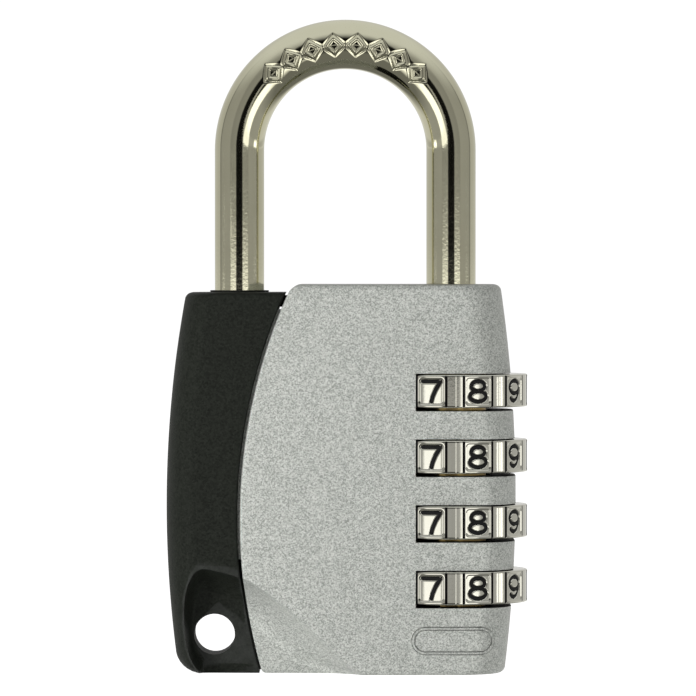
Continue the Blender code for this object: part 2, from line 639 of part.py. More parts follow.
def make_click_spring(number, z, material):
    """A bent leaf; its two noses point at the grooves beside the wheel's rear panel."""
    foot = CHAMBER_LEFT + LEAF_FOOT
    groove = math.radians(180.0 / NUMBER_COUNT - 4.5)
    reach = WHEEL_RADIUS + GAP + LEAF_THICKNESS / 2
    nose_x = AXIS_X - reach * math.cos(groove)
    nose_y = reach * math.sin(groove)
    path = [(nose_x - 0.55 * MM, -nose_y - 0.35 * MM), (nose_x, -nose_y)]
    path += [(nose_x - 0.7 * MM, 0.6 * MM - nose_y), (foot + 0.5 * MM, -1.25 * MM)]
    path += [(foot + 0.1 * MM, -0.95 * MM), (foot, -0.6 * MM)]
    path += [(x, -y) for x, y in reversed(path)]
    leaf = prism("click_spring_%d" % number, strip_outline(path, LEAF_THICKNESS),
                 -LEAF_HALF_HEIGHT, LEAF_HALF_HEIGHT, (0.0, 0.0, z))
    leaf.data.materials.append(material)
    return leaf


def make_carrier(material):
    """The channel strip behind the wheels that the four leaves sit in."""
    back = CHAMBER_LEFT + GAP
    side = CHAMBER_HALF_Y - GAP
    flange = back + CARRIER_FLANGE
    wall = back + CARRIER_BACK
    inner = side - CARRIER_SIDE
    outline = [(back, -side), (flange, -side), (flange, -inner), (wall, -inner)]
    outline += [(wall, inner), (flange, inner), (flange, side), (back, side)]
    carrier = prism("click_spring_carrier", outline, PLATE_TOP + 2 * GAP, CHAMBER_TOP - GAP)
    carrier.data.materials.append(material)
    return carrier


# ==== base, reset parts and screw ====================================================================
def make_base_plate(material):
    plate = prism("base_plate", plate_outline(0.0), PLATE_RECESS, PLATE_TOP)
    start = CHAMBER_LEFT - 2 * CUT_PAST
    length = AXIS_X + PIN_REACH + PIN_END_ROOM - start
    hole = rod_along("cut_plate_pin_hole", "X", start, length, PIN_RADIUS + PIN_PLAY,
                     (0.0, 0.0, PIN_Z), 14)
    combine(plate, hole, "DIFFERENCE")
    plate.data.materials.append(material)
    return plate


def make_plate_pin(material):
    start = TOE_X + PIN_START
    length = AXIS_X + PIN_REACH - start
    pin = rod_along("base_plate_pin", "X", start, length, PIN_RADIUS, (0.0, 0.0, PIN_Z), 14)
    pin.data.materials.append(material)
    return pin


def make_reset_parts(washer_material, spring_material):
    washer_high = STACK_BOTTOM - GAP
    washer_low = washer_high - WASHER_THICKNESS
    inner = SLEEVE_COUNTERBORE
    outer = CORE_BORE - GAP
    profile = [(inner, washer_low), (outer, washer_low), (outer, washer_high), (inner, washer_high)]
    washer = turned("reset_washer", profile, (AXIS_X, 0.0, 0.0), ROUND_STEPS, True)
    washer.data.materials.append(washer_material)
    radius = (CORE_BORE + SLEEVE_COUNTERBORE) / 2 - GAP
    spring = coil("reset_spring", radius, RESET_WIRE, LEG_END_Z, washer_low - GAP, RESET_TURNS,
                  (AXIS_X, 0.0, 0.0), 16, 5)
    spring.data.materials.append(spring_material)


def make_shackle_spring(material):
    top = ROD_END_Z - SPRING_BORE_ROOF - GAP
    radius = SPRING_BORE_RADIUS - 0.25 * MM - LIFT_WIRE / 2
    spring = coil("shackle_spring", radius, LIFT_WIRE, LEG_END_Z, top, LIFT_TURNS,
                  (AXIS_X, 0.0, 0.0), 8, 4)
    spring.data.materials.append(material)


def make_cover_screw(material):
    head_low = SOCKET_FLOOR + GAP
    head_high = head_low + SCREW_HEAD_HEIGHT
    profile = [(SCREW_RADIUS, SHELF_TOP - SHELF_THICKNESS + MM + GAP), (SCREW_RADIUS, head_low),
               (SCREW_HEAD_RADIUS, head_low), (SCREW_HEAD_RADIUS, head_high)]
    screw = turned("cover_screw", profile, (TOE_X, 0.0, 0.0), 24)
    hexagon = [(SCREW_SOCKET_RADIUS, head_high - SCREW_SOCKET_DEPTH)]
    hexagon += [(SCREW_SOCKET_RADIUS, head_high + MM)]
    socket = turned("cut_screw_socket", hexagon, (TOE_X, 0.0, 0.0), 6, smooth=False)
    combine(screw, socket, "DIFFERENCE")
    screw.data.materials.append(material)


# ==== the padlock ====================================================================================
def main():
    for item in list(bpy.data.objects):
        bpy.data.objects.remove(item)
    silver_paint = make_material("silver_paint", (0.52, 0.53, 0.51), 0.6, 0.42)
    black_plastic = make_material("black_plastic", (0.012, 0.013, 0.012), 0.0, 0.5)
    nickel = make_material("nickel_plate", (0.62, 0.59, 0.54), 1.0, 0.18)
    brass = make_material("brass", (0.62, 0.46, 0.18), 1.0, 0.3)
    spring_steel = make_material("spring_steel", (0.45, 0.45, 0.45), 1.0, 0.3)
    zinc_steel = make_material("zinc_steel", (0.5, 0.5, 0.5), 1.0, 0.35)
    grey_plastic = make_material("grey_plastic", (0.12, 0.12, 0.13), 0.0, 0.5)

    make_housing(silver_paint)
    make_cover(black_plastic)
    make_shackle(nickel)
    make_clip(spring_steel)
    for number in range(1, WHEEL_COUNT + 1):
        z = FIRST_WHEEL_Z + (WHEEL_COUNT - number) * WHEEL_PITCH
        make_wheel(number, z, nickel)
        make_sleeve(number, z, brass)
        make_click_spring(number, z, spring_steel)
    make_carrier(grey_plastic)
    make_base_plate(silver_paint)
    make_plate_pin(zinc_steel)
    make_reset_parts(zinc_steel, spring_steel)
    make_shackle_spring(spring_steel)
    make_cover_screw(zinc_steel)


main()
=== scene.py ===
"""Looks of the four-dial padlock: outer pieces rebuilt finely on the CAD frame, finishes and studio."""
import json
import math

import bmesh
import bpy
import numpy as np
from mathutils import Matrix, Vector


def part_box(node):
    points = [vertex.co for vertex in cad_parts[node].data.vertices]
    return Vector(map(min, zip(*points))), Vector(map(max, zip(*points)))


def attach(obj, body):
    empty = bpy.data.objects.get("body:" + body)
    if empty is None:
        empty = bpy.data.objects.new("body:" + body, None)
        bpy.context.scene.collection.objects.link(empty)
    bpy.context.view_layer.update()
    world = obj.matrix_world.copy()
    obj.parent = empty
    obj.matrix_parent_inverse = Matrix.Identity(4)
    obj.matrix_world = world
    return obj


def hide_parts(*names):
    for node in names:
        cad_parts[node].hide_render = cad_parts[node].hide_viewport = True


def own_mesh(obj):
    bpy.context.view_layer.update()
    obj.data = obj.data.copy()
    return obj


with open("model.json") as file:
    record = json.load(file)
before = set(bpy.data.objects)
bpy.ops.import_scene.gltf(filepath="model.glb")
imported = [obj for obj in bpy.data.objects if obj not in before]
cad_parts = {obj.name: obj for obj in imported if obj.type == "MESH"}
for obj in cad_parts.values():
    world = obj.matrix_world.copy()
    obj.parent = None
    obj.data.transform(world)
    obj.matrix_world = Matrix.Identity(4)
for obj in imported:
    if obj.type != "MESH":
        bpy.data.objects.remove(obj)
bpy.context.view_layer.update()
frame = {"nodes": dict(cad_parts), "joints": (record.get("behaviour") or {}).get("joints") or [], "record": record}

MM = 0.001
GAP = 0.3 * MM

# ---- sizes read from the frame ----
HOUSING_LOW, HOUSING_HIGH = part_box("body_housing")
COVER_LOW, COVER_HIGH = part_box("side_cover")
SHACKLE_LOW, SHACKLE_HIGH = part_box("shackle")
PLATE_LOW, PLATE_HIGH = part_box("base_plate")
CARRIER_LOW, CARRIER_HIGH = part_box("click_spring_carrier")
SCREW_LOW, SCREW_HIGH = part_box("cover_screw")
WHEEL_BOXES = [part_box("number_wheel_%d" % number) for number in (1, 2, 3, 4)]
SLEEVE_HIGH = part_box("code_sleeve_1")[1]
PIN_LOW, PIN_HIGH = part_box("base_plate_pin")

BODY_HALF = HOUSING_HIGH.y
COVER_HALF = COVER_HIGH.y
BODY_TOP = HOUSING_HIGH.z
COVER_TOP = COVER_HIGH.z
BODY_LEFT = COVER_LOW.x
BODY_RIGHT = HOUSING_HIGH.x
WHEEL_RADIUS = (WHEEL_BOXES[0][1].y - WHEEL_BOXES[0][0].y) / 2
WHEEL_HEIGHT = WHEEL_BOXES[0][1].z - WHEEL_BOXES[0][0].z
WHEEL_MIDDLES = [(low.z + high.z) / 2 for low, high in WHEEL_BOXES]
AXIS_X = next(joint["pos_m"][0] for joint in frame["joints"] if joint["name"] == "wheel_turn_1")
ROD_RADIUS = (SHACKLE_HIGH.y - SHACKLE_LOW.y) / 2
TOE_X = SHACKLE_LOW.x + ROD_RADIUS
BOW_RADIUS = (AXIS_X - TOE_X) / 2
BOW_X = (AXIS_X + TOE_X) / 2
BOW_Z = SHACKLE_HIGH.z - ROD_RADIUS - BOW_RADIUS

# ---- sizes of the body's shape ----
SEAM_RADIUS = 73.0 * MM  # arc of the joint between housing and cover
SEAM_Z = 20.2 * MM  # height where the arc reaches furthest left
SEAM_GAP = 0.35 * MM
LEFT_ARC_RADIUS = 150.0 * MM
LEFT_ARC_Z = 22.0 * MM
RIGHT_ARC_RADIUS = 185.0 * MM
RIGHT_ARC_Z = 23.5 * MM
HOUSING_SIDE_X = 5.5 * MM  # half width of the oval right side
HOUSING_SIDE_LAND = 2.7 * MM  # flat part left between the rounded edges of a side
EDGE_ROUND = 0.8 * MM
COVER_BOTTOM_ROUND = 2.8 * MM
LANYARD_X = BODY_LEFT + 6.3 * MM
LANYARD_Z = 5.05 * MM
LANYARD_RADIUS = 2.66 * MM
SCOOP_Z = 4.33 * MM
SCOOP_FLOOR = 3.7 * MM  # half the body left between the two scoops

# ---- sizes of the inner cuts ----
TONGUE_INSET = 2.0 * MM
COVER_WALL = 1.7 * MM
COVER_TOP_WALL = 2.0 * MM
CAVITY_FLOOR = 14.7 * MM
SOCKET_FLOOR = SCREW_HIGH.z - 2.1 * MM
SCREW_HOLE = 1.6 * MM
SHELF_LOW = SCREW_LOW.z - 1.3 * MM
SHELF_TOP = SHELF_LOW + 6.0 * MM
SHELF_HALF = 4.0 * MM
SHELF_REACH = 5.2 * MM
BORE_RADIUS = 5.5 * MM  # bore of the wheels and of the housing round the sleeves
SLOT_BELOW = 0.45 * MM  # a slot's room under its wheel
SLOT_ABOVE = 0.15 * MM
CHAMBER_HALF = 3.6 * MM

# ---- sizes of the wheels ----
PITCH_ANGLE = 36.0  # ten numbers
WHEEL_SHIFT = 2.1  # degrees that the wheels stand past their notch
PANEL_HALF_ANGLE = 10.5
PANEL_HALF_WIDTH = 1.78  # millimetres
PANEL_CORNER = 0.55  # millimetres
PANEL_DIP = 0.10 * MM
GROOVE_DEPTH = 0.55 * MM
NUMERAL_DEPTH = 0.17 * MM
STROKE = 0.42  # width of a numeral's stroke in millimetres
RIM_ROUND = 0.22  # millimetres
TOOTH_HEIGHT = 1.4 * MM
TOOTH_DEPTH = 0.6 * MM


# ==== shader node groups ====
def new_group(name, inputs, outputs):
    """A shader node group of plain values: inputs with their defaults, and the names of its outputs."""
    group = bpy.data.node_groups.new(name, "ShaderNodeTree")
    kind = "NodeSocketFloat"
    for label, default in inputs.items():
        socket = group.interface.new_socket(name=label, in_out="INPUT", socket_type=kind)
        socket.default_value = default
    for label in outputs:
        group.interface.new_socket(name=label, in_out="OUTPUT", socket_type=kind)
    source = group.nodes.new("NodeGroupInput")
    result = group.nodes.new("NodeGroupOutput")
    return group, source, result


def node(tree, kind, settings=None, values=None):
    made = tree.nodes.new("ShaderNode" + kind)
    for key, value in (settings or {}).items():
        setattr(made, key, value)
    for key, value in (values or {}).items():
        made.inputs[key].default_value = value
    return made


def math_node(tree, operation, first, second, clamp=False):
    """A Math node; each operand is a socket or a number."""
    made = node(tree, "Math", {"operation": operation, "use_clamp": clamp})
    for index, operand in enumerate((first, second)):
        if isinstance(operand, (int, float)):
            made.inputs[index].default_value = operand
        else:
            tree.links.new(operand, made.inputs[index])
    return made.outputs[0]


def mix_colors(tree, factor, first, second, blend="MIX"):
    """A colour Mix node; each operand is a socket or a constant."""
    made = node(tree, "Mix", {"data_type": "RGBA", "blend_type": blend})
    for index, operand in ((0, factor), (6, first), (7, second)):
        if isinstance(operand, (int, float, tuple)):
            made.inputs[index].default_value = operand
        else:
            tree.links.new(operand, made.inputs[index])
    return made.outputs[2]


def texture(group, kind, vector, scale, values=None):
    made = node(group, kind, values=values)
    group.links.new(vector, made.inputs["Vector"])
    group.links.new(scale, made.inputs["Scale"])
    return made


def build_grain_group():
    """Fine two-size grain: a value for colour, a height for bump."""
    group, source, result = new_group(
        "fine_grain", {"Grain Scale": 3000.0, "Contrast": 1.0}, ("Value", "Height"))
    place = node(group, "TexCoord").outputs["Object"]
    scale = source.outputs["Grain Scale"]
    fine = texture(group, "TexNoise", place, scale,
                   {"Detail": 3.0, "Roughness": 0.65})
    flakes = texture(group, "TexVoronoi", place, scale)
    flake_value = node(group, "SeparateColor")
    group.links.new(flakes.outputs["Color"], flake_value.inputs[0])
    mixed = math_node(group, "MULTIPLY_ADD", flake_value.outputs[0], 0.45)
    mixed.node.inputs[2].default_value = -0.225
    both = math_node(group, "ADD", fine.outputs["Fac"], mixed)
    centred = math_node(group, "SUBTRACT", both, 0.5)
    strong = math_node(group, "MULTIPLY", centred, source.outputs["Contrast"])
    value = math_node(group, "ADD", strong, 0.5, clamp=True)
    group.links.new(value, result.inputs["Value"])
    group.links.new(both, result.inputs["Height"])
    return group


def build_wear_group():
    """Edge wear mask from the surface's pointiness, broken up by noise."""
    group, source, result = new_group(
        "edge_wear", {"Start": 0.52, "End": 0.6, "Break Up": 900.0}, ("Mask",))
    shape = node(group, "NewGeometry")
    place = node(group, "TexCoord").outputs["Object"]
    blotch = texture(group, "TexNoise", place, source.outputs["Break Up"],
                     {"Detail": 3.0})
    edge = node(group, "MapRange", {"interpolation_type": "SMOOTHSTEP"})
    group.links.new(shape.outputs["Pointiness"], edge.inputs["Value"])
    group.links.new(source.outputs["Start"], edge.inputs["From Min"])
    group.links.new(source.outputs["End"], edge.inputs["From Max"])
    broken = math_node(group, "MULTIPLY", edge.outputs["Result"], blotch.outputs["Fac"])
    mask = math_node(group, "MULTIPLY", broken, 1.6, clamp=True)
    group.links.new(mask, result.inputs["Mask"])
    return group


def build_smudge_group():
    """Broad cloudy handling marks and thin scratches, as one value between 0 and 1."""
    group, source, result = new_group(
        "smudges", {"Cloud Scale": 120.0, "Scratch Scale": 500.0}, ("Cloud", "Scratch"))
    place = node(group, "TexCoord").outputs["Object"]
    cloud = texture(group, "TexNoise", place, source.outputs["Cloud Scale"],
                    {"Detail": 4.0, "Roughness": 0.6})
    stretch = node(group, "Mapping",
                   values={"Rotation": (0.4, 0.2, 0.7), "Scale": (1.0, 1.0, 0.06)})
    group.links.new(place, stretch.inputs["Vector"])
    lines = texture(group, "TexNoise", stretch.outputs["Vector"], source.outputs["Scratch Scale"],
                    {"Detail": 5.0, "Roughness": 0.7})
    thin = node(group, "MapRange", values={"From Min": 0.62, "From Max": 0.72})
    group.links.new(lines.outputs["Fac"], thin.inputs["Value"])
    group.links.new(cloud.outputs["Fac"], result.inputs["Cloud"])
    group.links.new(thin.outputs["Result"], result.inputs["Scratch"])
    return group


GRAIN = build_grain_group()
WEAR = build_wear_group()
SMUDGES = build_smudge_group()


def place_group(tree, group, values):
    made = tree.nodes.new("ShaderNodeGroup")
    made.node_tree = group
    for key, value in values.items():
        made.inputs[key].default_value = value
    return made


def new_finish(name, metallic, roughness):
    material = bpy.data.materials.new(name)
    material.use_nodes = True
    tree = material.node_tree
    shader = tree.nodes["Principled BSDF"]
    shader.inputs["Metallic"].default_value = metallic
    shader.inputs["Roughness"].default_value = roughness
    return material, tree, shader


def add_bump(tree, shader, height, strength, distance):
    bump = node(tree, "Bump", values={"Strength": strength, "Distance": distance})
    tree.links.new(height, bump.inputs["Height"])
    tree.links.new(bump.outputs["Normal"], shader.inputs["Normal"])


def coat(tree, shader, base, rough):
    """Links the colour and the roughness into the shader."""
    tree.links.new(base, shader.inputs["Base Color"])
    tree.links.new(rough, shader.inputs["Roughness"])


def spread(tree, value, low, high):
    """A socket that runs from low to high as value runs from 0 to 1."""
    made = node(tree, "MapRange", values={"To Min": low, "To Max": high})
    tree.links.new(value, made.inputs["Value"])
    return made.outputs["Result"]


def make_silver_paint():
    """Silver paint with a fine bright grain and faint handling clouds."""
    material, tree, shader = new_finish("grained_silver_paint", 0.35, 0.38)
    grain = place_group(tree, GRAIN, {"Grain Scale": 7000.0, "Contrast": 2.2})
    smudge = place_group(tree, SMUDGES, {"Cloud Scale": 160.0, "Scratch Scale": 420.0})
    base = mix_colors(tree, grain.outputs["Value"], (0.243, 0.257, 0.235, 1), (0.588, 0.603, 0.568, 1))
    cloud = spread(tree, smudge.outputs["Cloud"], 0.0, 0.05)
    base = mix_colors(tree, cloud, base, (0.42, 0.43, 0.41, 1))
    coat(tree, shader, base, spread(tree, grain.outputs["Value"], 0.32, 0.46))
    add_bump(tree, shader, grain.outputs["Height"], 0.25, 0.00004)
    return material


def make_black_plastic():
    """Fine-textured black plastic, greyer on worn edges."""
    material, tree, shader = new_finish("textured_black_plastic", 0.0, 0.45)
    shader.inputs["Specular IOR Level"].default_value = 0.07
    grain = place_group(tree, GRAIN, {"Grain Scale": 4200.0, "Contrast": 1.3})
    wear = place_group(tree, WEAR, {"Start": 0.53, "End": 0.66, "Break Up": 700.0})
    smudge = place_group(tree, SMUDGES, {"Cloud Scale": 140.0, "Scratch Scale": 380.0})
    base = mix_colors(tree, grain.outputs["Value"], (0.006, 0.007, 0.0055, 1), (0.016, 0.018, 0.0145, 1))
    base = mix_colors(tree, spread(tree, wear.outputs["Mask"], 0.0, 0.35), base, (0.05, 0.052, 0.05, 1))
    coat(tree, shader, base, spread(tree, smudge.outputs["Cloud"], 0.44, 0.60))
    add_bump(tree, shader, grain.outputs["Height"], 0.35, 0.00007)
    return material


def make_nickel(name, dark, light):
    """Polished nickel plating with faint unevenness and thin scratches."""
    material, tree, shader = new_finish(name, 1.0, 0.12)
    smudge = place_group(tree, SMUDGES, {"Cloud Scale": 260.0, "Scratch Scale": 900.0})
    base = mix_colors(tree, smudge.outputs["Cloud"], (*dark, 1), (*light, 1))
    soft = spread(tree, smudge.outputs["Cloud"], 0.02, 0.07)
    rough = math_node(tree, "MULTIPLY_ADD", smudge.outputs["Scratch"], 0.08)
    tree.links.new(soft, rough.node.inputs[2])
    coat(tree, shader, base, rough)
    peel = place_group(tree, SMUDGES, {"Cloud Scale": 2600.0, "Scratch Scale": 900.0})
    add_bump(tree, shader, peel.outputs["Cloud"], 0.13, 0.00002)
    return material


def make_grained(name, specular, scale, contrast, dark, light, rough, bump):
    """Enamel or moulded plastic with a fine grain in its colour, gloss and surface."""
    material, tree, shader = new_finish(name, 0.0, 0.5)
    shader.inputs["Specular IOR Level"].default_value = specular
    grain = place_group(tree, GRAIN, {"Grain Scale": scale, "Contrast": contrast})
    base = mix_colors(tree, grain.outputs["Value"], (*dark, 1), (*light, 1))
    coat(tree, shader, base, spread(tree, grain.outputs["Value"], *rough))
    add_bump(tree, shader, grain.outputs["Height"], 0.2, bump)
    return material


def make_plain_metal(name, dark, light, low_rough, high_rough, scale):
    """Bare or plated metal of the inner parts: drawn or turned marks, cloudy roughness, worn edges."""
    material, tree, shader = new_finish(name, 1.0, 0.3)
    smudge = place_group(tree, SMUDGES, {"Cloud Scale": scale, "Scratch Scale": scale * 4})
    wear = place_group(tree, WEAR, {"Start": 0.52, "End": 0.6, "Break Up": scale * 3})
    base = mix_colors(tree, smudge.outputs["Cloud"], (*dark, 1), (*light, 1))
    worn = [min(1.0, level * 1.3) for level in light]
    base = mix_colors(tree, spread(tree, wear.outputs["Mask"], 0.0, 0.5), base, (*worn, 1))
    coat(tree, shader, base, spread(tree, smudge.outputs["Cloud"], low_rough, high_rough))
    add_bump(tree, shader, smudge.outputs["Scratch"], 0.15, 0.00003)
    return material


SILVER = make_silver_paint()
BLACK = make_black_plastic()
NICKEL = make_nickel("polished_nickel", (0.63, 0.61, 0.45), (0.69, 0.67, 0.51))
WHEEL_NICKEL = make_nickel("wheel_nickel", (0.62, 0.61, 0.53), (0.68, 0.67, 0.60))
ENAMEL = make_grained("black_enamel", 0.15, 6000.0, 1.0, (0.003, 0.003, 0.003), (0.012, 0.012, 0.012),
                      (0.42, 0.62), 0.00003)
# Near-black metal for the housing's wheel slots and bore: painted shade, not the casting's own colour.
SLOT_SHADE = make_plain_metal("bare_dark_casting", (0.02, 0.02, 0.02), (0.05, 0.05, 0.048), 0.5, 0.7, 400.0)
BRASS = make_plain_metal("turned_brass", (0.50, 0.35, 0.13), (0.70, 0.53, 0.24), 0.2, 0.38, 300.0)
SPRING = make_plain_metal("spring_wire", (0.34, 0.34, 0.35), (0.52, 0.52, 0.53), 0.22, 0.4, 500.0)
ZINC = make_plain_metal("zinc_plating", (0.42, 0.44, 0.46), (0.60, 0.62, 0.64), 0.25, 0.42, 350.0)
GREY = make_grained("moulded_grey_plastic", 0.5, 2600.0, 0.8, (0.09, 0.09, 0.10), (0.14, 0.14, 0.15),
                    (0.42, 0.6), 0.00005)


# ==== mesh helpers ====
def new_object(name, data):
    made = bpy.data.objects.new(name, data)
    bpy.context.scene.collection.objects.link(made)
    return made


def piece(name, vertices, faces, material, angle=35.0):
    """A mesh object with outward faces, shaded smooth up to an angle in degrees."""
    mesh = bpy.data.meshes.new(name)
    mesh.from_pydata([tuple(v) for v in vertices], [], [tuple(f) for f in faces])
    work = bmesh.new()
    work.from_mesh(mesh)
    bmesh.ops.recalc_face_normals(work, faces=work.faces)
    work.to_mesh(mesh)
    work.free()
    mesh.shade_smooth()
    mesh.set_sharp_from_angle(angle=math.radians(angle))
    if material is not None:
        mesh.materials.append(material)
    return new_object(name, mesh)


def band(low, high, count):
    """The quads between two rings of count points that start at low and high."""
    return [(low + i, low + (i + 1) % count, high + (i + 1) % count, high + i) for i in range(count)]


def ring_faces(rows, count, closed=False):
    """Faces of stacked rings: capped at both ends, or joined end to end when closed."""
    faces = []
    for row in range(rows if closed else rows - 1):
        faces.extend(band(row * count, ((row + 1) % rows) * count, count))
    if not closed:
        faces.append(tuple(range(count)))
        faces.append(tuple(range((rows - 1) * count, rows * count)))
    return faces


def ring_piece(name, rings, material, closed=False, angle=35.0):
    vertices = [point for ring in rings for point in ring]
    return piece(name, vertices, ring_faces(len(rings), len(rings[0]), closed), material, angle)


def circle(x, y, z, radius, steps):
    turn = 2 * math.pi / steps
    return [(x + radius * math.cos(i * turn), y + radius * math.sin(i * turn), z) for i in range(steps)]


def turned(name, profile, x, material, steps=96, closed=False, angle=35.0):
    """A turned piece round the vertical axis at x, from (radius, z) pairs."""
    rings = [circle(x, 0.0, z, radius, steps) for radius, z in profile]
    return ring_piece(name, rings, material, closed, angle)


def block(name, low, high, material=None):
    corners = [(low[0], low[1]), (high[0], low[1]), (high[0], high[1]), (low[0], high[1])]
    return ring_piece(name, [[(x, y, z) for x, y in corners] for z in (low[2], high[2])], material)


def arc(centre_x, centre_y, radius_x, radius_y, start, end, steps):
    """Points along an elliptical arc, from start to end in degrees."""
    points = []
    for i in range(steps + 1):
        angle = math.radians(start + (end - start) * i / steps)
        points.append((centre_x + radius_x * math.cos(angle), centre_y + radius_y * math.sin(angle)))
    return points


def carve(target, tools, operation="DIFFERENCE"):
    """Applies one exact Boolean after another and removes the tools."""
    for tool in tools:
        step = target.modifiers.new("carve", "BOOLEAN")
        step.operation = operation
        step.solver = "EXACT"
        step.object = tool
        apply_modifiers(target)
        bpy.data.objects.remove(tool)


def apply_modifiers(target):
    """Replaces the object's mesh with its evaluated one."""
    bpy.context.view_layer.update()
    graph = bpy.context.evaluated_depsgraph_get()
    mesh = bpy.data.meshes.new_from_object(target.evaluated_get(graph))
    target.modifiers.clear()
    old = target.data
    target.data = mesh
    bpy.data.meshes.remove(old)


def soften(target, width, angle=35.0):
    """Small rounded edges, then normals that keep the broad faces flat."""
    edge = target.modifiers.new("edge", "BEVEL")
    edge.width = width
    edge.segments = 2
    edge.limit_method = "ANGLE"
    edge.angle_limit = math.radians(angle)
    edge.use_clamp_overlap = True
    apply_modifiers(target)
    flatten(target, angle)


def flatten(target, angle=35.0):
    """Normals weighted by area, with the broad front and back faces kept flat."""
    target.data.shade_smooth()
    target.data.set_sharp_from_angle(angle=math.radians(angle))
    for face in target.data.polygons:
        if abs(face.normal.y) > 0.99995 and face.area > 2 * MM * MM:
            face.use_smooth = False
    weight = target.modifiers.new("weight", "WEIGHTED_NORMAL")
    weight.keep_sharp = True
    weight.mode = "FACE_AREA"
    apply_modifiers(target)


# ==== body shape ====
def rounding(z, low, high, low_radius, high_radius):
    """How far a rounded edge draws a side in at height z."""
    if z < low + low_radius:
        return low_radius - math.sqrt(max(0.0, low_radius ** 2 - (low + low_radius - z) ** 2))
    if z > high - high_radius:
        return high_radius - math.sqrt(max(0.0, high_radius ** 2 - (z - high + high_radius) ** 2))
    return 0.0


def left_edge(z):
    return BODY_LEFT + (z - LEFT_ARC_Z) ** 2 / (2 * LEFT_ARC_RADIUS)


def right_edge(z):
    return BODY_RIGHT - (z - RIGHT_ARC_Z) ** 2 / (2 * RIGHT_ARC_RADIUS)


def seam_x(z, offset):
    """The seam's arc between housing and cover; a positive offset lies to its left."""
    radius = SEAM_RADIUS + offset
    return TOE_X + SEAM_RADIUS - math.sqrt(radius ** 2 - (z - SEAM_Z) ** 2)


def levels(low, high, low_radius, high_radius, spans=56):
    """Heights of the rings: close together in the rounded edges."""
    steps = (0, 12, 24, 36, 48, 60, 72, 82)
    bottom = [low + low_radius * (1 - math.cos(math.radians(a))) for a in steps]
    top = [high - high_radius * (1 - math.cos(math.radians(a))) for a in reversed(steps)]
    start = low + low_radius
    middle = [start + (high - high_radius - start) * i / spans for i in range(spans + 1)]
    return bottom + middle + top


def scoop_cutter(name, side):
    """The dished hollow round the lanyard hole; side is -1 at the front and 1 at the back."""
    corners = [(26.7, -2.0), (23.2, 1.87), (20.8, 4.26), (18.1, 6.84), (15.3, 9.25),
               (12.5, 11.3), (10.3, 12.6), (7.0, 13.6), (4.6, 13.9), (3.2, 12.6),
               (2.4, 10.0), (2.3, 6.5), (2.8, 3.0), (4.2, 0.2), (6.2, -2.0)]
    outline = smooth_loop([(BODY_LEFT + x * MM, z * MM) for x, z in corners], 8)
    centre = (LANYARD_X, SCOOP_Z)
    depth = BODY_HALF - SCOOP_FLOOR
    rings = [[(x, side * (BODY_HALF + MM), z) for x, z in outline]]
    first = math.radians(45)
    for i in range(25):
        turn = math.radians(45 + 45 * i / 24)
        inward = 1 - math.cos(turn) / math.cos(first)
        y = side * (BODY_HALF - depth * (math.sin(turn) - math.sin(first)) / (1 - math.sin(first)))
        ring = []
        for x, z in outline:
            shrink = 0.42 + 0.13 * (x - centre[0]) / math.dist((x, z), centre)
            scale = 1 - shrink * inward
            ring.append((centre[0] + (x - centre[0]) * scale, y, centre[1] + (z - centre[1]) * scale))
        rings.append(ring)
    return ring_piece(name, rings, None)


def smooth_loop(points, steps):
    """A closed Catmull-Rom curve through the points."""
    result = []
    count = len(points)
    for i in range(count):
        p0, p1, p2, p3 = (points[(i + k) % count] for k in (-1, 0, 1, 2))
        for j in range(steps):
            t = j / steps
            blend = (-0.5 * t + t * t - 0.5 * t ** 3, 1 - 2.5 * t * t + 1.5 * t ** 3,
                     0.5 * t + 2 * t * t - 1.5 * t ** 3, -0.5 * t * t + 0.5 * t ** 3)
            result.append(tuple(sum(w * p[k] for w, p in zip(blend, (p0, p1, p2, p3))) for k in (0, 1)))
    return result


# ==== housing ====
def housing_ring(z):
    """One level of the housing: rounded seam corners, flat faces and the oval right side."""
    edge = rounding(z, 0.0, BODY_TOP, EDGE_ROUND, EDGE_ROUND)
    half = BODY_HALF - edge
    left = seam_x(z, -SEAM_GAP / 2) + rounding(z, 0.0, BODY_TOP, 0.5 * MM, 1.2 * MM)
    right = right_edge(z) - edge
    side_x = HOUSING_SIDE_X
    side_y = half - HOUSING_SIDE_LAND
    seam_round = 0.35 * MM
    points = arc(left + seam_round, seam_round - half, seam_round, seam_round, 180, 270, 5)
    points.append((left + 1.0 * MM, -half))
    points.append((right - side_x - 0.4 * MM, -half))
    points += arc(right - side_x, side_y - half, side_x, side_y, -90, 0, 22)
    points += arc(right - side_x, half - side_y, side_x, side_y, 0, 90, 22)
    points.append((right - side_x - 0.4 * MM, half))
    points.append((left + 1.0 * MM, half))
    points += arc(left + seam_round, half - seam_round, seam_round, seam_round, 90, 180, 5)
    return [(x, y, z) for x, y in points]


def wheel_bore_cutter():
    """The bore round the sleeves with a slot for each wheel, and the long leg's bore above."""
    slot = WHEEL_RADIUS + GAP
    profile = [(BORE_RADIUS, PLATE_HIGH.z - MM)]
    for middle in sorted(WHEEL_MIDDLES):
        low = middle - (WHEEL_HEIGHT / 2 + SLOT_BELOW)
        high = middle + (WHEEL_HEIGHT / 2 + SLOT_ABOVE)
        profile += [(BORE_RADIUS, low), (slot, low), (slot, high), (BORE_RADIUS, high)]
    top = SLEEVE_HIGH.z + GAP
    profile += [(BORE_RADIUS, top), (ROD_RADIUS + GAP, top), (ROD_RADIUS + GAP, BODY_TOP + 2 * MM)]
    return turned("cut_bore", profile, AXIS_X, None, 144)


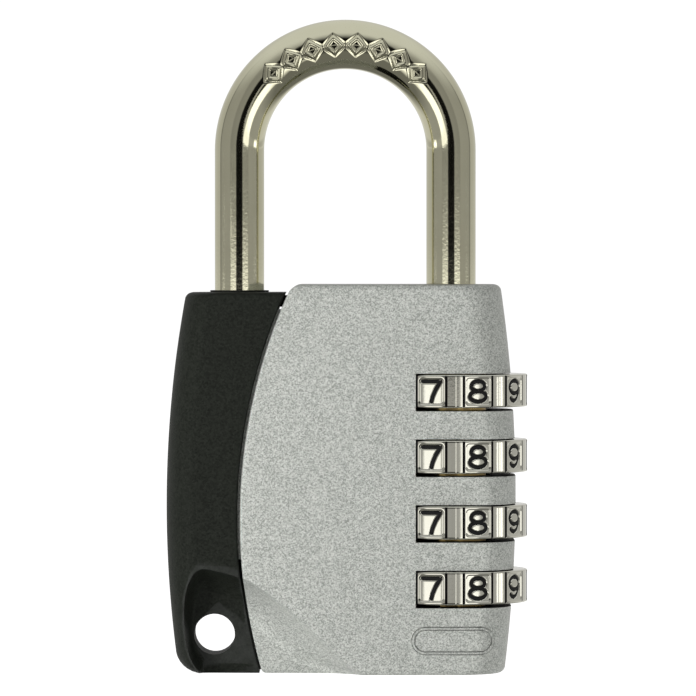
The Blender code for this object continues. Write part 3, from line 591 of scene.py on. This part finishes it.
def plate_recess_cutter():
    """The keyhole-shaped recess of the base plate."""
    head = 5.9 * MM
    corner = 1.5 * MM
    left = PLATE_LOW.x - GAP + corner
    side = 4.3 * MM - corner
    outline = arc(AXIS_X, 0.0, head, head, -132, 132, 60)
    outline += arc(left, side, corner, corner, 90, 180, 8)
    outline += arc(left, -side, corner, corner, 180, 270, 8)
    rings = [[(x, y, z) for x, y in outline] for z in (-MM, PLATE_HIGH.z + GAP)]
    return ring_piece("cut_plate", rings, None)


def pin_cutter():
    """The bore of the base plate's pin, open towards the seam."""
    middle = (PIN_LOW.z + PIN_HIGH.z) / 2
    radius = (PIN_HIGH.z - PIN_LOW.z) / 2 + 0.25 * MM
    outline = circle(0.0, middle, 0.0, radius, 32)
    rings = [[(x, y, z) for y, z, _ in outline] for x in (TOE_X - 2 * MM, PIN_HIGH.x + 0.4 * MM)]
    return ring_piece("cut_pin", rings, None)


def front_depth(x, z):
    """How far the housing's front stands behind its flat face at (x, z)."""
    past = max(0.0, x - right_edge(z) + HOUSING_SIDE_X) / HOUSING_SIDE_X
    return (BODY_HALF - HOUSING_SIDE_LAND) * (1 - math.sqrt(max(0.0, 1 - past * past)))


def plaque_ring(name, radius, lift):
    """A round bead along a blank stadium-shaped border; lift is its centre's height over the front."""
    centre_x = 13.8 * MM
    centre_z = 4.5 * MM
    half_z = 1.6 * MM
    straight_x = 3.6 * MM
    straight = [2 * straight_x * (step / 16 - 0.5) for step in range(1, 16)]
    spine = arc(centre_x + straight_x, centre_z, half_z, half_z, -90, 90, 24)
    spine += [(centre_x - x, centre_z + half_z) for x in straight]
    spine += arc(centre_x - straight_x, centre_z, half_z, half_z, 90, 270, 24)
    spine += [(centre_x + x, centre_z - half_z) for x in straight]
    rings = []
    for index, (x, z) in enumerate(spine):
        after = spine[(index + 1) % len(spine)]
        before = spine[index - 1]
        length = math.dist(before, after)
        out_x = (after[1] - before[1]) / length
        out_z = (before[0] - after[0]) / length
        ring = []
        for turn in range(0, 360, 30):
            reach = radius * math.cos(math.radians(turn))
            depth = radius * math.sin(math.radians(turn)) - lift
            at = x + out_x * reach
            ring.append((at, front_depth(at, z) - BODY_HALF + depth, z + out_z * reach))
        rings.append(ring)
    return ring_piece(name, rings, None, True)


def paint_slot_shade(housing):
    """Painted shade: the faces in the wheel slots and the bore take a near-black metal that stands in for the
    shade inside them; only the outer faces keep the silver paint.
    """
    housing.data.materials.append(SLOT_SHADE)
    for face in housing.data.polygons:
        x, y, z = face.center
        away = math.hypot(x - AXIS_X, y)
        inward = (x - AXIS_X) * face.normal.x + y * face.normal.y < -0.2 * away
        level = abs(face.normal.z) > 0.95
        within = away < WHEEL_RADIUS + GAP + 0.1 * MM and PLATE_HIGH.z < z < BODY_TOP - 2 * MM
        if within and (inward or level):
            face.material_index = 1


def make_housing():
    """The silver casting with its bores, the plate's recess, the scoops and the blank plaque."""
    heights = levels(0.0, BODY_TOP, EDGE_ROUND, EDGE_ROUND)
    housing = ring_piece("housing_casting", [housing_ring(z) for z in heights], SILVER)
    tongue_half = COVER_HALF - TONGUE_INSET
    tongue = block("add_tongue", (HOUSING_LOW.x, -tongue_half, 15.0 * MM),
                   (AXIS_X - 12 * MM, tongue_half, COVER_TOP - 2.3 * MM))
    carve(housing, [tongue], "UNION")
    chamber = block("cut_chamber", (CARRIER_LOW.x - GAP, -CHAMBER_HALF, PLATE_HIGH.z - MM),
                    (AXIS_X - WHEEL_RADIUS + 0.4 * MM, CHAMBER_HALF, CARRIER_HIGH.z + GAP))
    leg = ROD_RADIUS + GAP
    socket = turned("cut_socket", [(leg, SOCKET_FLOOR), (leg, BODY_TOP + MM)], TOE_X, None, 64)
    shelf = block("cut_shelf", (HOUSING_LOW.x - MM, -SHELF_HALF - GAP, SHELF_LOW - GAP),
                  (TOE_X + SHELF_REACH + GAP, SHELF_HALF + GAP, SHELF_TOP + GAP))
    screw = turned("cut_screw", [(SCREW_HOLE, SHELF_TOP - MM), (SCREW_HOLE, SOCKET_FLOOR + MM)],
                   TOE_X, None, 48)
    carve(housing, [wheel_bore_cutter(), chamber, plate_recess_cutter(), socket, shelf, screw, pin_cutter()])
    carve(housing, [scoop_cutter("cut_front", -1), scoop_cutter("cut_back", 1)])
    carve(housing, [plaque_ring("cut_plaque", 0.30 * MM, 0.12 * MM)])
    carve(housing, [plaque_ring("add_plaque", 0.17 * MM, -0.05 * MM)], "UNION")
    soften(housing, 0.12 * MM)
    # painted shade in the wheel slots and the bore
    paint_slot_shade(housing)
    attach(housing, "lock_body")
    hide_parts("body_housing")


# ==== side cover ====
def cover_ring(z):
    """One level of the cover: rounded left side and rounded seam corners."""
    edge = rounding(z, 0.0, COVER_TOP, EDGE_ROUND, 0.6 * MM)
    half = COVER_HALF - edge
    left = left_edge(z) + rounding(z, 0.0, COVER_TOP, COVER_BOTTOM_ROUND, EDGE_ROUND)
    right = seam_x(z, SEAM_GAP / 2)
    side_x = 3.9 * MM
    side_y = half - 2.9 * MM
    seam_round = 0.3 * MM
    points = arc(left + side_x, half - side_y, side_x, side_y, 90, 180, 18)
    points += arc(left + side_x, side_y - half, side_x, side_y, 180, 270, 18)
    points.append((left + side_x + 0.4 * MM, -half))
    points.append((right - 1.0 * MM, -half))
    points += arc(right - seam_round, seam_round - half, seam_round, seam_round, -90, 0, 5)
    points += arc(right - seam_round, half - seam_round, seam_round, seam_round, 0, 90, 5)
    points.append((right - 1.0 * MM, half))
    points.append((left + side_x + 0.4 * MM, half))
    return [(x, y, z) for x, y in points]


def seam_rib(low, high):
    """A rib on the cover that closes the joint against light, just clear of the housing."""
    rings = []
    for step in range(13):
        z = low + (high - low) * step / 12
        left = seam_x(z, SEAM_GAP / 2 + 0.6 * MM)
        right = seam_x(z, 0.06 * MM - SEAM_GAP / 2)
        half = 3.0 * MM
        rings.append([(left, -half, z), (right, -half, z), (right, half, z), (left, half, z)])
    return ring_piece("add_rib", rings, None)


def leg_collar():
    """A low raised ring round the short leg's hole."""
    low = COVER_TOP - 0.5 * MM
    inner = ROD_RADIUS - MM
    outer = ROD_RADIUS + 0.6 * MM
    profile = [(inner, low), (outer, low), (outer, COVER_TOP + 0.26 * MM), (inner, COVER_TOP + 0.3 * MM)]
    return turned("add_collar", profile, TOE_X, None, 96)


def lanyard_cutter():
    outline = circle(LANYARD_X, LANYARD_Z, 0.0, LANYARD_RADIUS, 96)
    rings = [[(x, y, z) for x, z, _ in outline] for y in (-COVER_HALF - MM, COVER_HALF + MM)]
    return ring_piece("cut_lanyard", rings, None)


def make_cover():
    """The black cover with its cavity, shelf, ribs along the seam, scoops and lanyard hole."""
    heights = levels(0.0, COVER_TOP, COVER_BOTTOM_ROUND, EDGE_ROUND)
    cover = ring_piece("cover_moulding", [cover_ring(z) for z in heights], BLACK)
    cavity = block("cut_cavity", (HOUSING_LOW.x - GAP, -COVER_HALF + COVER_WALL, CAVITY_FLOOR),
                   (AXIS_X, COVER_HALF - COVER_WALL, COVER_TOP - COVER_TOP_WALL))
    leg = ROD_RADIUS + 0.25 * MM
    hole = turned("cut_toe", [(leg, COVER_TOP - 3 * MM), (leg, COVER_TOP + 2 * MM)], TOE_X, None, 96)
    carve(cover, [cavity])
    shelf = block("add_shelf", (HOUSING_LOW.x - GAP - 0.6 * MM, -SHELF_HALF, SHELF_LOW),
                  (TOE_X + SHELF_REACH, SHELF_HALF, SHELF_TOP))
    carve(cover, [shelf, leg_collar(), seam_rib(0.4 * MM, CAVITY_FLOOR - 0.3 * MM),
                  seam_rib(COVER_TOP - 1.9 * MM, COVER_TOP - 0.4 * MM)], "UNION")
    screw = turned("cut_screw", [(SCREW_HOLE, SHELF_LOW + MM), (SCREW_HOLE, SHELF_TOP + MM)],
                   TOE_X, None, 48)
    carve(cover, [hole, screw])
    carve(cover, [scoop_cutter("cut_front", -1), scoop_cutter("cut_back", 1)])
    carve(cover, [lanyard_cutter()])
    soften(cover, 0.14 * MM)
    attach(cover, "lock_body")
    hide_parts("side_cover")


# ==== number wheels ====
# Centre lines of the numerals in millimetres, right and up from the panel's middle; True closes a line.
TOP = 1.31
NUMERALS = {
    0: [(arc(0, 0, 1.05, TOP, 0, 345, 23), True)],
    1: [([(-0.62, 0.72), (0.18, TOP), (0.18, -TOP)], False)],
    2: [(arc(0, 0.5, 0.92, 0.83, 165, -25, 14) + [(-0.98, -TOP), (1.0, -TOP)], False)],
    3: [(arc(0, 0.64, 0.86, 0.69, 150, -90, 14), False),
        (arc(0, -0.62, 0.98, 0.71, 90, -155, 14), False)],
    4: [([(0.42, -TOP), (0.42, TOP), (-1.1, -0.55), (1.1, -0.55)], False)],
    5: [([(0.86, TOP), (-0.7, TOP), (-0.82, 0.18)]
         + arc(0, -0.42, 0.98, 0.91, 132, -148, 16), False)],
    6: [(arc(0, -0.5, 0.98, 0.83, 0, 345, 23), True),
        ([(-0.98, -0.5), (-0.92, 0.35), (-0.5, 1.05), (0.05, TOP), (0.6, 1.2), (0.88, 0.95)], False)],
    7: [([(-1.22, TOP), (1.22, TOP), (0.55, 0.2), (0.15, -0.7), (0.0, -TOP)], False)],
    8: [(arc(0, 0.68, 0.95, 0.65, 0, 345, 23), True),
        (arc(0, -0.65, 1.15, 0.68, 0, 345, 23), True)],
    9: [(arc(0, 0.5, 1.08, 0.83, 0, 345, 23), True),
        ([(1.08, 0.5), (1.0, -0.35), (0.5, -1.05), (-0.05, -TOP), (-0.6, -1.2), (-0.88, -0.95)], False)],
}


def stroke_distance(u, v, number):
    """Distance in millimetres from points (u, v) to the nearest centre line of a numeral."""
    best = np.full(u.shape, 9.0)
    for line, closed in NUMERALS[number]:
        points = line + [line[0]] if closed else line
        for (ax, az), (bx, bz) in zip(points[:-1], points[1:]):
            dx, dz = bx - ax, bz - az
            t = np.clip(((u - ax) * dx + (v - az) * dz) / (dx * dx + dz * dz), 0, 1)
            best = np.minimum(best, np.hypot(u - ax - t * dx, v - az - t * dz))
    return best


def ramp(value, low, high):
    t = np.clip((value - low) / (high - low), 0, 1)
    return t * t * (3 - 2 * t)


def wheel_angles():
    """Angles round one number's pitch, close together where the shape changes."""
    panel = np.linspace(-10.4, 10.4, 54)
    groove = np.array([10.9, 11.5, 12.0])
    rib = np.append(np.linspace(12.4, 16.8, 6), [17.2, 17.6, 18.0])
    right = np.concatenate([groove, rib])
    return np.concatenate([-right[::-1][1:], panel, right])


def panel_distance(u, v, half):
    """Signed distance in millimetres from points (u, v) to a panel's rounded border, negative inside."""
    qx = np.abs(u) - (PANEL_HALF_WIDTH - PANEL_CORNER)
    qv = np.abs(v) - (half - 0.30 - PANEL_CORNER)
    return np.hypot(np.maximum(qx, 0), np.maximum(qv, 0)) + np.minimum(np.maximum(qx, qv), 0) - PANEL_CORNER


def wheel_surface(angle, height):
    """Radius of a wheel at (angle in degrees, height in metres) for its ten panels and ribs."""
    pitches = np.round(angle / PITCH_ANGLE)
    number = pitches.astype(int) % 10
    local = angle - PITCH_ANGLE * pitches
    u = np.radians(local) * WHEEL_RADIUS / MM
    v = height / MM
    half = WHEEL_HEIGHT / 2 / MM
    side = np.abs(local)
    radius = WHEEL_RADIUS - PANEL_DIP * ramp(-panel_distance(u, v, half), 0.0, 0.22)
    rib = np.radians(PITCH_ANGLE / 2 - side) * WHEEL_RADIUS
    rib_shape = WHEEL_RADIUS - 0.02 * MM - 0.02 * rib + 0.02 * MM * (1 - ramp(rib, 0.0, 0.15 * MM))
    inner = 1 - ramp(np.abs(v), half - 0.32, half - 0.1)
    groove = GROOVE_DEPTH * ramp(side, 10.6, 10.9) * (1 - ramp(side, 12.0, 12.4)) * inner
    radius = np.where(side > 12.2, np.minimum(radius, rib_shape), radius) - groove
    for value in range(10):
        chosen = (number == value) & (side < PANEL_HALF_ANGLE)
        reach = stroke_distance(u[chosen], v[chosen], value)
        radius[chosen] -= NUMERAL_DEPTH * (1 - ramp(reach, STROKE / 2, STROKE / 2 + 0.10))
    edge = np.maximum(np.abs(v) - (half - RIM_ROUND), 0) / RIM_ROUND
    return radius - RIM_ROUND * MM * (1 - np.sqrt(np.maximum(0, 1 - edge ** 2)))


def wheel_rings():
    """Outlines of a wheel: up its outer face, then down the bore with its drive teeth."""
    local = wheel_angles()
    angles = np.concatenate([local[:-1] + PITCH_ANGLE * number for number in range(10)])
    half = WHEEL_HEIGHT / 2
    rim = np.array([0, 0.05, 0.11, 0.16, 0.22]) * MM
    field = np.linspace(-half + 0.28 * MM, half - 0.28 * MM, 54)
    heights = np.concatenate([rim - half, field, half - rim[::-1]])
    outlines = list(zip(heights, wheel_surface(*np.meshgrid(angles, heights))))
    shifted = angles + WHEEL_SHIFT
    tooth = 1 - ramp(np.abs((shifted % PITCH_ANGLE) - PITCH_ANGLE / 2), 4.0, 5.2)
    teeth = BORE_RADIUS - TOOTH_DEPTH * tooth
    teeth = np.where(teeth > 5.45 * MM, BORE_RADIUS, teeth)
    plain = np.full(len(angles), BORE_RADIUS)
    ledge = half - TOOTH_HEIGHT
    outlines += [(half, teeth), (ledge, teeth), (ledge, plain), (-half, plain)]
    turn = np.radians(shifted)
    return [np.stack([radius * np.cos(turn), radius * np.sin(turn), np.full(len(turn), z)], 1)
            for z, radius in outlines]


def make_wheel_mesh():
    """One wheel about the origin, with the faces of the grooves beside its panels given the near-black material of
    the numerals.
    """
    made = ring_piece("wheel_master", wheel_rings(), WHEEL_NICKEL, True, 50.0)
    made.data.materials.append(ENAMEL)
    for face in made.data.polygons:
        x, y, z = face.center
        turn = math.degrees(math.atan2(y, x)) - WHEEL_SHIFT
        side = abs(turn - PITCH_ANGLE * round(turn / PITCH_ANGLE))
        outer = abs(z) < WHEEL_HEIGHT / 2 - 0.25 * MM and math.hypot(x, y) > WHEEL_RADIUS - MM
        if 10.6 < side < 12.3 and outer:
            face.material_index = 1
    return made


def numeral_mesh():
    """The ten enamel numerals on one wheel, as thin solids sunk into the panels."""
    vertices = []
    faces = []
    for number, lines in NUMERALS.items():
        for line, closed in lines:
            add_stroke(vertices, faces, number * PITCH_ANGLE, refine(line, closed), closed)
    return piece("numeral_master", vertices, faces, ENAMEL, 50.0)


def refine(line, closed):
    """Adds points so that a straight run follows the wheel's curve."""
    points = line + [line[0]] if closed else line
    result = []
    for (ax, az), (bx, bz) in zip(points[:-1], points[1:]):
        parts = max(1, int(math.dist((ax, az), (bx, bz)) / 0.2))
        result.extend((ax + (bx - ax) * i / parts, az + (bz - az) * i / parts) for i in range(parts))
    if not closed:
        result.append(points[-1])
    return result


# (part of the stroke's width, depth in millimetres) across one stroke
STROKE_PROFILE = ((-0.5, 0.20), (-0.5, 0.13), (-0.32, 0.10), (0.0, 0.09), (0.32, 0.10), (0.5, 0.13),
                  (0.5, 0.20))


def add_stroke(vertices, faces, middle, line, closed):
    """Appends one stroke with a crowned top and rounded ends to the lists."""
    count = len(line)
    stations = []
    for i, (x, z) in enumerate(line):
        before = line[(i - 1) % count] if closed else line[max(i - 1, 0)]
        after = line[(i + 1) % count] if closed else line[min(i + 1, count - 1)]
        length = math.dist(before, after)
        stations.append((x, z, (after[0] - before[0]) / length, (after[1] - before[1]) / length, 1.0))
    if not closed:
        stations = [*end_cap(stations[0], -1), *stations, *end_cap(stations[-1], 1)]
    start = len(vertices)
    for x, z, dx, dz, width in stations:
        for across, depth in STROKE_PROFILE:
            u = x - dz * across * STROKE * width
            v = z + dx * across * STROKE * width
            turn = math.radians(middle + WHEEL_SHIFT) + u * MM / WHEEL_RADIUS
            reach = WHEEL_RADIUS - PANEL_DIP - depth * MM + 0.04 * MM
            vertices.append((reach * math.cos(turn), reach * math.sin(turn), v * MM))
    wide = len(STROKE_PROFILE)
    rows = len(stations)
    for row in range(rows if closed else rows - 1):
        faces.extend(band(start + row * wide, start + ((row + 1) % rows) * wide, wide))
    if not closed:
        faces.append(tuple(start + i for i in range(wide)))
        faces.append(tuple(start + (rows - 1) * wide + i for i in range(wide)))


def end_cap(station, direction):
    """Stations that round off a stroke's end."""
    x, z, dx, dz, _ = station
    caps = []
    for angle in (30, 55, 75, 86):
        ahead = direction * STROKE / 2 * math.sin(math.radians(angle))
        caps.append((x + dx * ahead, z + dz * ahead, dx, dz, math.cos(math.radians(angle))))
    return caps if direction > 0 else caps[::-1]


def make_wheels():
    wheel_master = make_wheel_mesh()
    numeral_master = numeral_mesh()
    for number, middle in enumerate(WHEEL_MIDDLES, start=1):
        for master, label in ((wheel_master, "wheel_ring"), (numeral_master, "wheel_numerals")):
            made = new_object("%s_%d" % (label, number), master.data.copy())
            made.location = (AXIS_X, 0.0, middle)
            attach(made, "wheel_%d_body" % number)
            if master is wheel_master:
                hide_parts("number_wheel_%d" % number)
    for master in (wheel_master, numeral_master):
        bpy.data.objects.remove(master)


# ==== shackle ====
def shackle_mark(along, around):
    """Height of a row of plain stamped diamonds on the bow; along and around are in millimetres."""
    pitch = 3.0
    cell = np.clip(np.floor(along / pitch), -4, 3) + 0.5
    reach = np.abs(along - cell * pitch) + np.abs(around)
    away = np.abs(reach - 1.05) / math.sqrt(2)
    raised = 1 - ramp(away, 0.08, 0.22)
    sunk = ramp(away, 0.16, 0.30) * (1 - ramp(reach, 1.55, 1.85))
    return 0.10 * MM * raised - 0.12 * MM * sunk


AROUND = np.linspace(0, 2 * np.pi, 160, endpoint=False)
ROD_CORE = ROD_RADIUS - 1.05 * MM
ROD_END = SLEEVE_HIGH.z + GAP


def level_ring(x, z, radius, outer):
    """A level ring of a leg; outer is 1 on the long leg and -1 on the short one."""
    across = radius * np.cos(AROUND) * outer
    return np.stack([x + across, radius * np.sin(AROUND), np.full(len(AROUND), z)], 1)


def short_leg_rings():
    end = BODY_TOP - 6.9 * MM
    rings = []
    for angle in (0, 25, 50, 70, 90):
        turn = math.radians(angle)
        z = end + 0.5 * MM * (1 - math.cos(turn))
        rings.append(level_ring(TOE_X, z, ROD_RADIUS - 0.5 * MM * (1 - math.sin(turn)), -1))
    straight = np.linspace(end + 1.5 * MM, BOW_Z - 0.5 * MM, 6)
    return rings + [level_ring(TOE_X, z, ROD_RADIUS, -1) for z in straight]


def bow_rings():
    """The rod's half circle, finely stepped where the marks are."""
    ends = np.linspace(180, 152, 12, endpoint=False)
    middle = np.linspace(152, 28, 330)
    spot = ROD_RADIUS * (AROUND - math.radians(267.0)) / MM
    rings = []
    for angle in np.concatenate([ends, middle, 180 - ends[::-1]]):
        turn = math.radians(angle)
        along = math.radians(90 - angle) * BOW_RADIUS / MM
        radius = ROD_RADIUS + shackle_mark(np.full(len(AROUND), along), spot) * (abs(along) < 12.5)
        across = BOW_RADIUS + radius * np.cos(AROUND)
        rings.append(np.stack([BOW_X + across * math.cos(turn), radius * np.sin(AROUND),
                               BOW_Z + across * math.sin(turn)], 1))
    return rings


def long_leg_rings():
    """The straight leg, its thin grooved end inside the sleeves and the bore up its middle."""
    rings = [level_ring(AXIS_X, z, ROD_RADIUS, 1)
             for z in np.linspace(BOW_Z - 0.5 * MM, ROD_END + 0.5 * MM, 6)]
    end = SHACKLE_LOW.z
    groove = ROD_CORE - 0.45 * MM
    bore = 1.2 * MM
    outline = ((ROD_END, ROD_RADIUS - 0.25 * MM), (ROD_END, ROD_CORE), (end + 1.1 * MM, ROD_CORE),
               (end + 1.1 * MM, groove), (end + 0.25 * MM, groove), (end + 0.25 * MM, ROD_CORE),
               (end, ROD_CORE - 0.1 * MM), (end, bore), (ROD_END - 9.0 * MM, bore))
    return rings + [level_ring(AXIS_X, z, radius, 1) for z, radius in outline]


def make_shackle():
    """The nickel-plated rod with one locking lug inside each wheel."""
    rings = [*short_leg_rings(), *bow_rings(), *long_leg_rings()]
    shackle = ring_piece("shackle_rod", rings, NICKEL, False, 40.0)
    pitch = WHEEL_MIDDLES[0] - WHEEL_MIDDLES[1]
    lugs = []
    for middle in WHEEL_MIDDLES:
        low = middle - (pitch - GAP) / 2
        lugs.append(block("add_lug", (AXIS_X - ROD_RADIUS + 0.25 * MM, -1.2 * MM, low),
                          (AXIS_X - ROD_CORE + 0.5 * MM, 1.2 * MM, low + 3.5 * MM)))
    carve(shackle, lugs, "UNION")
    flatten(shackle, 40.0)
    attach(shackle, "shackle_body")
    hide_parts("shackle")


# ==== reset spring ====
def make_reset_spring():
    """A wire coil round the long leg's end, the spring that the sleeves are pushed down against."""
    low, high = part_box("reset_spring")
    wire = 0.2 * MM
    middle = (high.x - low.x) / 2 - wire
    rise = high.z - low.z - 2 * wire
    steps = 40
    total = 3 * steps
    rings = []
    for step in range(total + 1):
        turn = 2 * math.pi * step / steps
        reach = circle(middle, low.z + wire + rise * step / total, 0.0, wire, 16)
        rings.append([(AXIS_X + r * math.cos(turn), r * math.sin(turn), z) for r, z, _ in reach])
    spring = ring_piece("reset_coil", rings, SPRING)
    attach(spring, "lock_body")
    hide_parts("reset_spring")
    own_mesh(spring)


# ==== finishes on the carried-over nodes ====
def dress_nodes():
    finishes = {"brass": BRASS, "spring_steel": SPRING, "zinc_steel": ZINC, "grey_plastic": GREY,
                "silver_paint": SILVER, "nickel_plate": NICKEL, "black_plastic": BLACK}
    for part in frame["record"]["subparts"]:
        held = frame["nodes"][part["node"]]
        if not held.material_slots:
            held.data.materials.append(None)
        for slot in held.material_slots:
            slot.material = finishes[part["material_slot"]]


# ==== studio ====
def make_floor():
    material = bpy.data.materials.new("pale_floor")
    material.use_nodes = True
    shader = material.node_tree.nodes["Principled BSDF"]
    for key, value in (("Base Color", (0.4, 0.4, 0.4, 1)), ("Roughness", 0.9),
                       ("Emission Color", (1, 1, 1, 1)), ("Emission Strength", 1.0)):
        shader.inputs[key].default_value = value
    floor = block("studio_floor", (-1.6, -1.6, -0.01), (1.6, 1.6, -0.0001), material)
    floor.visible_glossy = False


def make_bands(tree, place, stops):
    """Grey levels over half a turn, from the near side (0) to the far side (1)."""
    bands = node(tree, "ValToRGB")
    elements = bands.color_ramp.elements
    for index, (degrees, level) in enumerate(stops):
        element = elements[index] if index < 2 else elements.new(degrees / 180)
        element.position = degrees / 180
        element.color = (level, level * 0.995, level * 0.97, 1)
    tree.links.new(place, bands.inputs[0])
    return bands.outputs["Color"]


UPPER_STOPS = ((0, 0.006), (13, 0.01), (17, 0.33), (40, 0.30), (46, 0.40), (92, 0.38), (97, 0.2),
               (103, 0.55), (180, 0.7))
LOWER_STOPS = ((0, 0.006), (13, 0.01), (17, 0.8), (39, 0.8), (43, 0.17), (92, 0.18), (97, 0.1),
               (103, 0.3), (180, 0.35))
TABLE_STOPS = ((0, 0.19), (14.5, 0.21), (17.5, 0.62), (41, 0.62), (45, 0.21), (69, 0.21), (73, 1.0),
               (84, 1.0), (88, 0.21), (120, 0.22), (180, 0.35))


def past_height(tree, height, start, end, settings=None):
    """A socket that runs from 0 at the height start to 1 at the height end."""
    made = node(tree, "MapRange", settings, {"From Min": start, "From Max": end})
    tree.links.new(height, made.inputs["Value"])
    return made.outputs["Result"]


def gloss_colors(tree):
    """What the gloss sees: bands over the horizon, a bright table below it and a pale ceiling."""
    place = node(tree, "TexCoord")
    split = node(tree, "SeparateXYZ")
    tree.links.new(place.outputs["Generated"], split.inputs[0])
    height = split.outputs["Z"]
    facing = math_node(tree, "MULTIPLY", split.outputs["Y"], -1.0)
    turn = math_node(tree, "ARCTAN2", split.outputs["X"], facing)
    aside = math_node(tree, "DIVIDE", math_node(tree, "ABSOLUTE", turn, 0.0), math.pi)
    near = math_node(tree, "MULTIPLY", past_height(tree, height, -0.012, -0.02),
                     past_height(tree, height, -0.10, -0.06))
    lower = make_bands(tree, aside, LOWER_STOPS)
    lower = mix_colors(tree, near, lower, make_bands(tree, aside, TABLE_STOPS))
    bright = mix_colors(tree, 1.0, lower, (2.4, 2.4, 2.4, 1), "MULTIPLY")
    upper = make_bands(tree, aside, UPPER_STOPS)
    around = mix_colors(tree, past_height(tree, height, 0.0, -0.012), upper, bright)
    around = mix_colors(tree, past_height(tree, height, -0.35, -0.6), around, (0.20, 0.20, 0.19, 1))
    high = past_height(tree, height, 0.4, 0.85, {"interpolation_type": "SMOOTHSTEP"})
    return mix_colors(tree, high, around, (0.80, 0.81, 0.81, 1))


def choose_shader(tree, factor, first, second):
    """Mixes two shaders: first where factor is 0, second where it is 1."""
    made = node(tree, "MixShader")
    for index, socket in enumerate((factor, first, second)):
        tree.links.new(socket, made.inputs[index])
    return made.outputs[0]


def make_world():
    """Plain white to look at; the gloss sees a studio with a dark near side and a bright table."""
    world = bpy.data.worlds.new("studio_world")
    bpy.context.scene.world = world
    world.use_nodes = True
    tree = world.node_tree
    background = tree.nodes["Background"]
    background.inputs["Color"].default_value = (1, 1, 1, 1)
    background.inputs["Strength"].default_value = 1.05
    gloss = node(tree, "Background", values={"Strength": 1.0})
    tree.links.new(gloss_colors(tree), gloss.inputs["Color"])
    fill = node(tree, "Background", values={"Color": (1.0, 1.0, 0.985, 1), "Strength": 0.22})
    rays = node(tree, "LightPath")
    seen = choose_shader(tree, rays.outputs["Is Glossy Ray"], fill.outputs[0], gloss.outputs[0])
    seen = choose_shader(tree, rays.outputs["Is Camera Ray"], seen, background.outputs[0])
    tree.links.new(seen, tree.nodes["World Output"].inputs["Surface"])


def add_light(name, place, target, size, power):
    data = bpy.data.lights.new(name, "AREA")
    data.shape = "RECTANGLE"
    data.size = size[0]
    data.size_y = size[1]
    data.energy = power
    lamp = new_object(name, data)
    aim(lamp, place, target)
    lamp.visible_glossy = False


def aim(item, place, target):
    item.location = place
    item.rotation_euler = (Vector(target) - Vector(place)).to_track_quat("-Z", "Y").to_euler()


def make_camera():
    data = bpy.data.cameras.new("view")
    data.lens = 312.5
    data.sensor_width = 36.0
    data.clip_end = 10.0
    camera = new_object("view", data)
    distance = 0.795
    rise = math.radians(0.94)
    target = (0.0001, 0.0, 0.0425)
    place = (target[0], -distance * math.cos(rise), target[2] + distance * math.sin(rise))
    aim(camera, place, target)
    bpy.context.scene.camera = camera


def make_studio():
    make_floor()
    make_world()
    middle = (0.0, 0.0, 0.04)
    add_light("left_box", (-0.12, -0.11, 0.012), (0.0, 0.0, 0.025), (0.05, 0.10), 0.34)
    add_light("front_box", (0.02, -0.60, 0.16), middle, (0.30, 0.20), 0.8)
    make_camera()
    bpy.context.scene.view_settings.view_transform = "Standard"


# ==== the padlock ====
make_housing()
make_cover()
make_wheels()
make_shackle()
make_reset_spring()
dress_nodes()
make_studio()
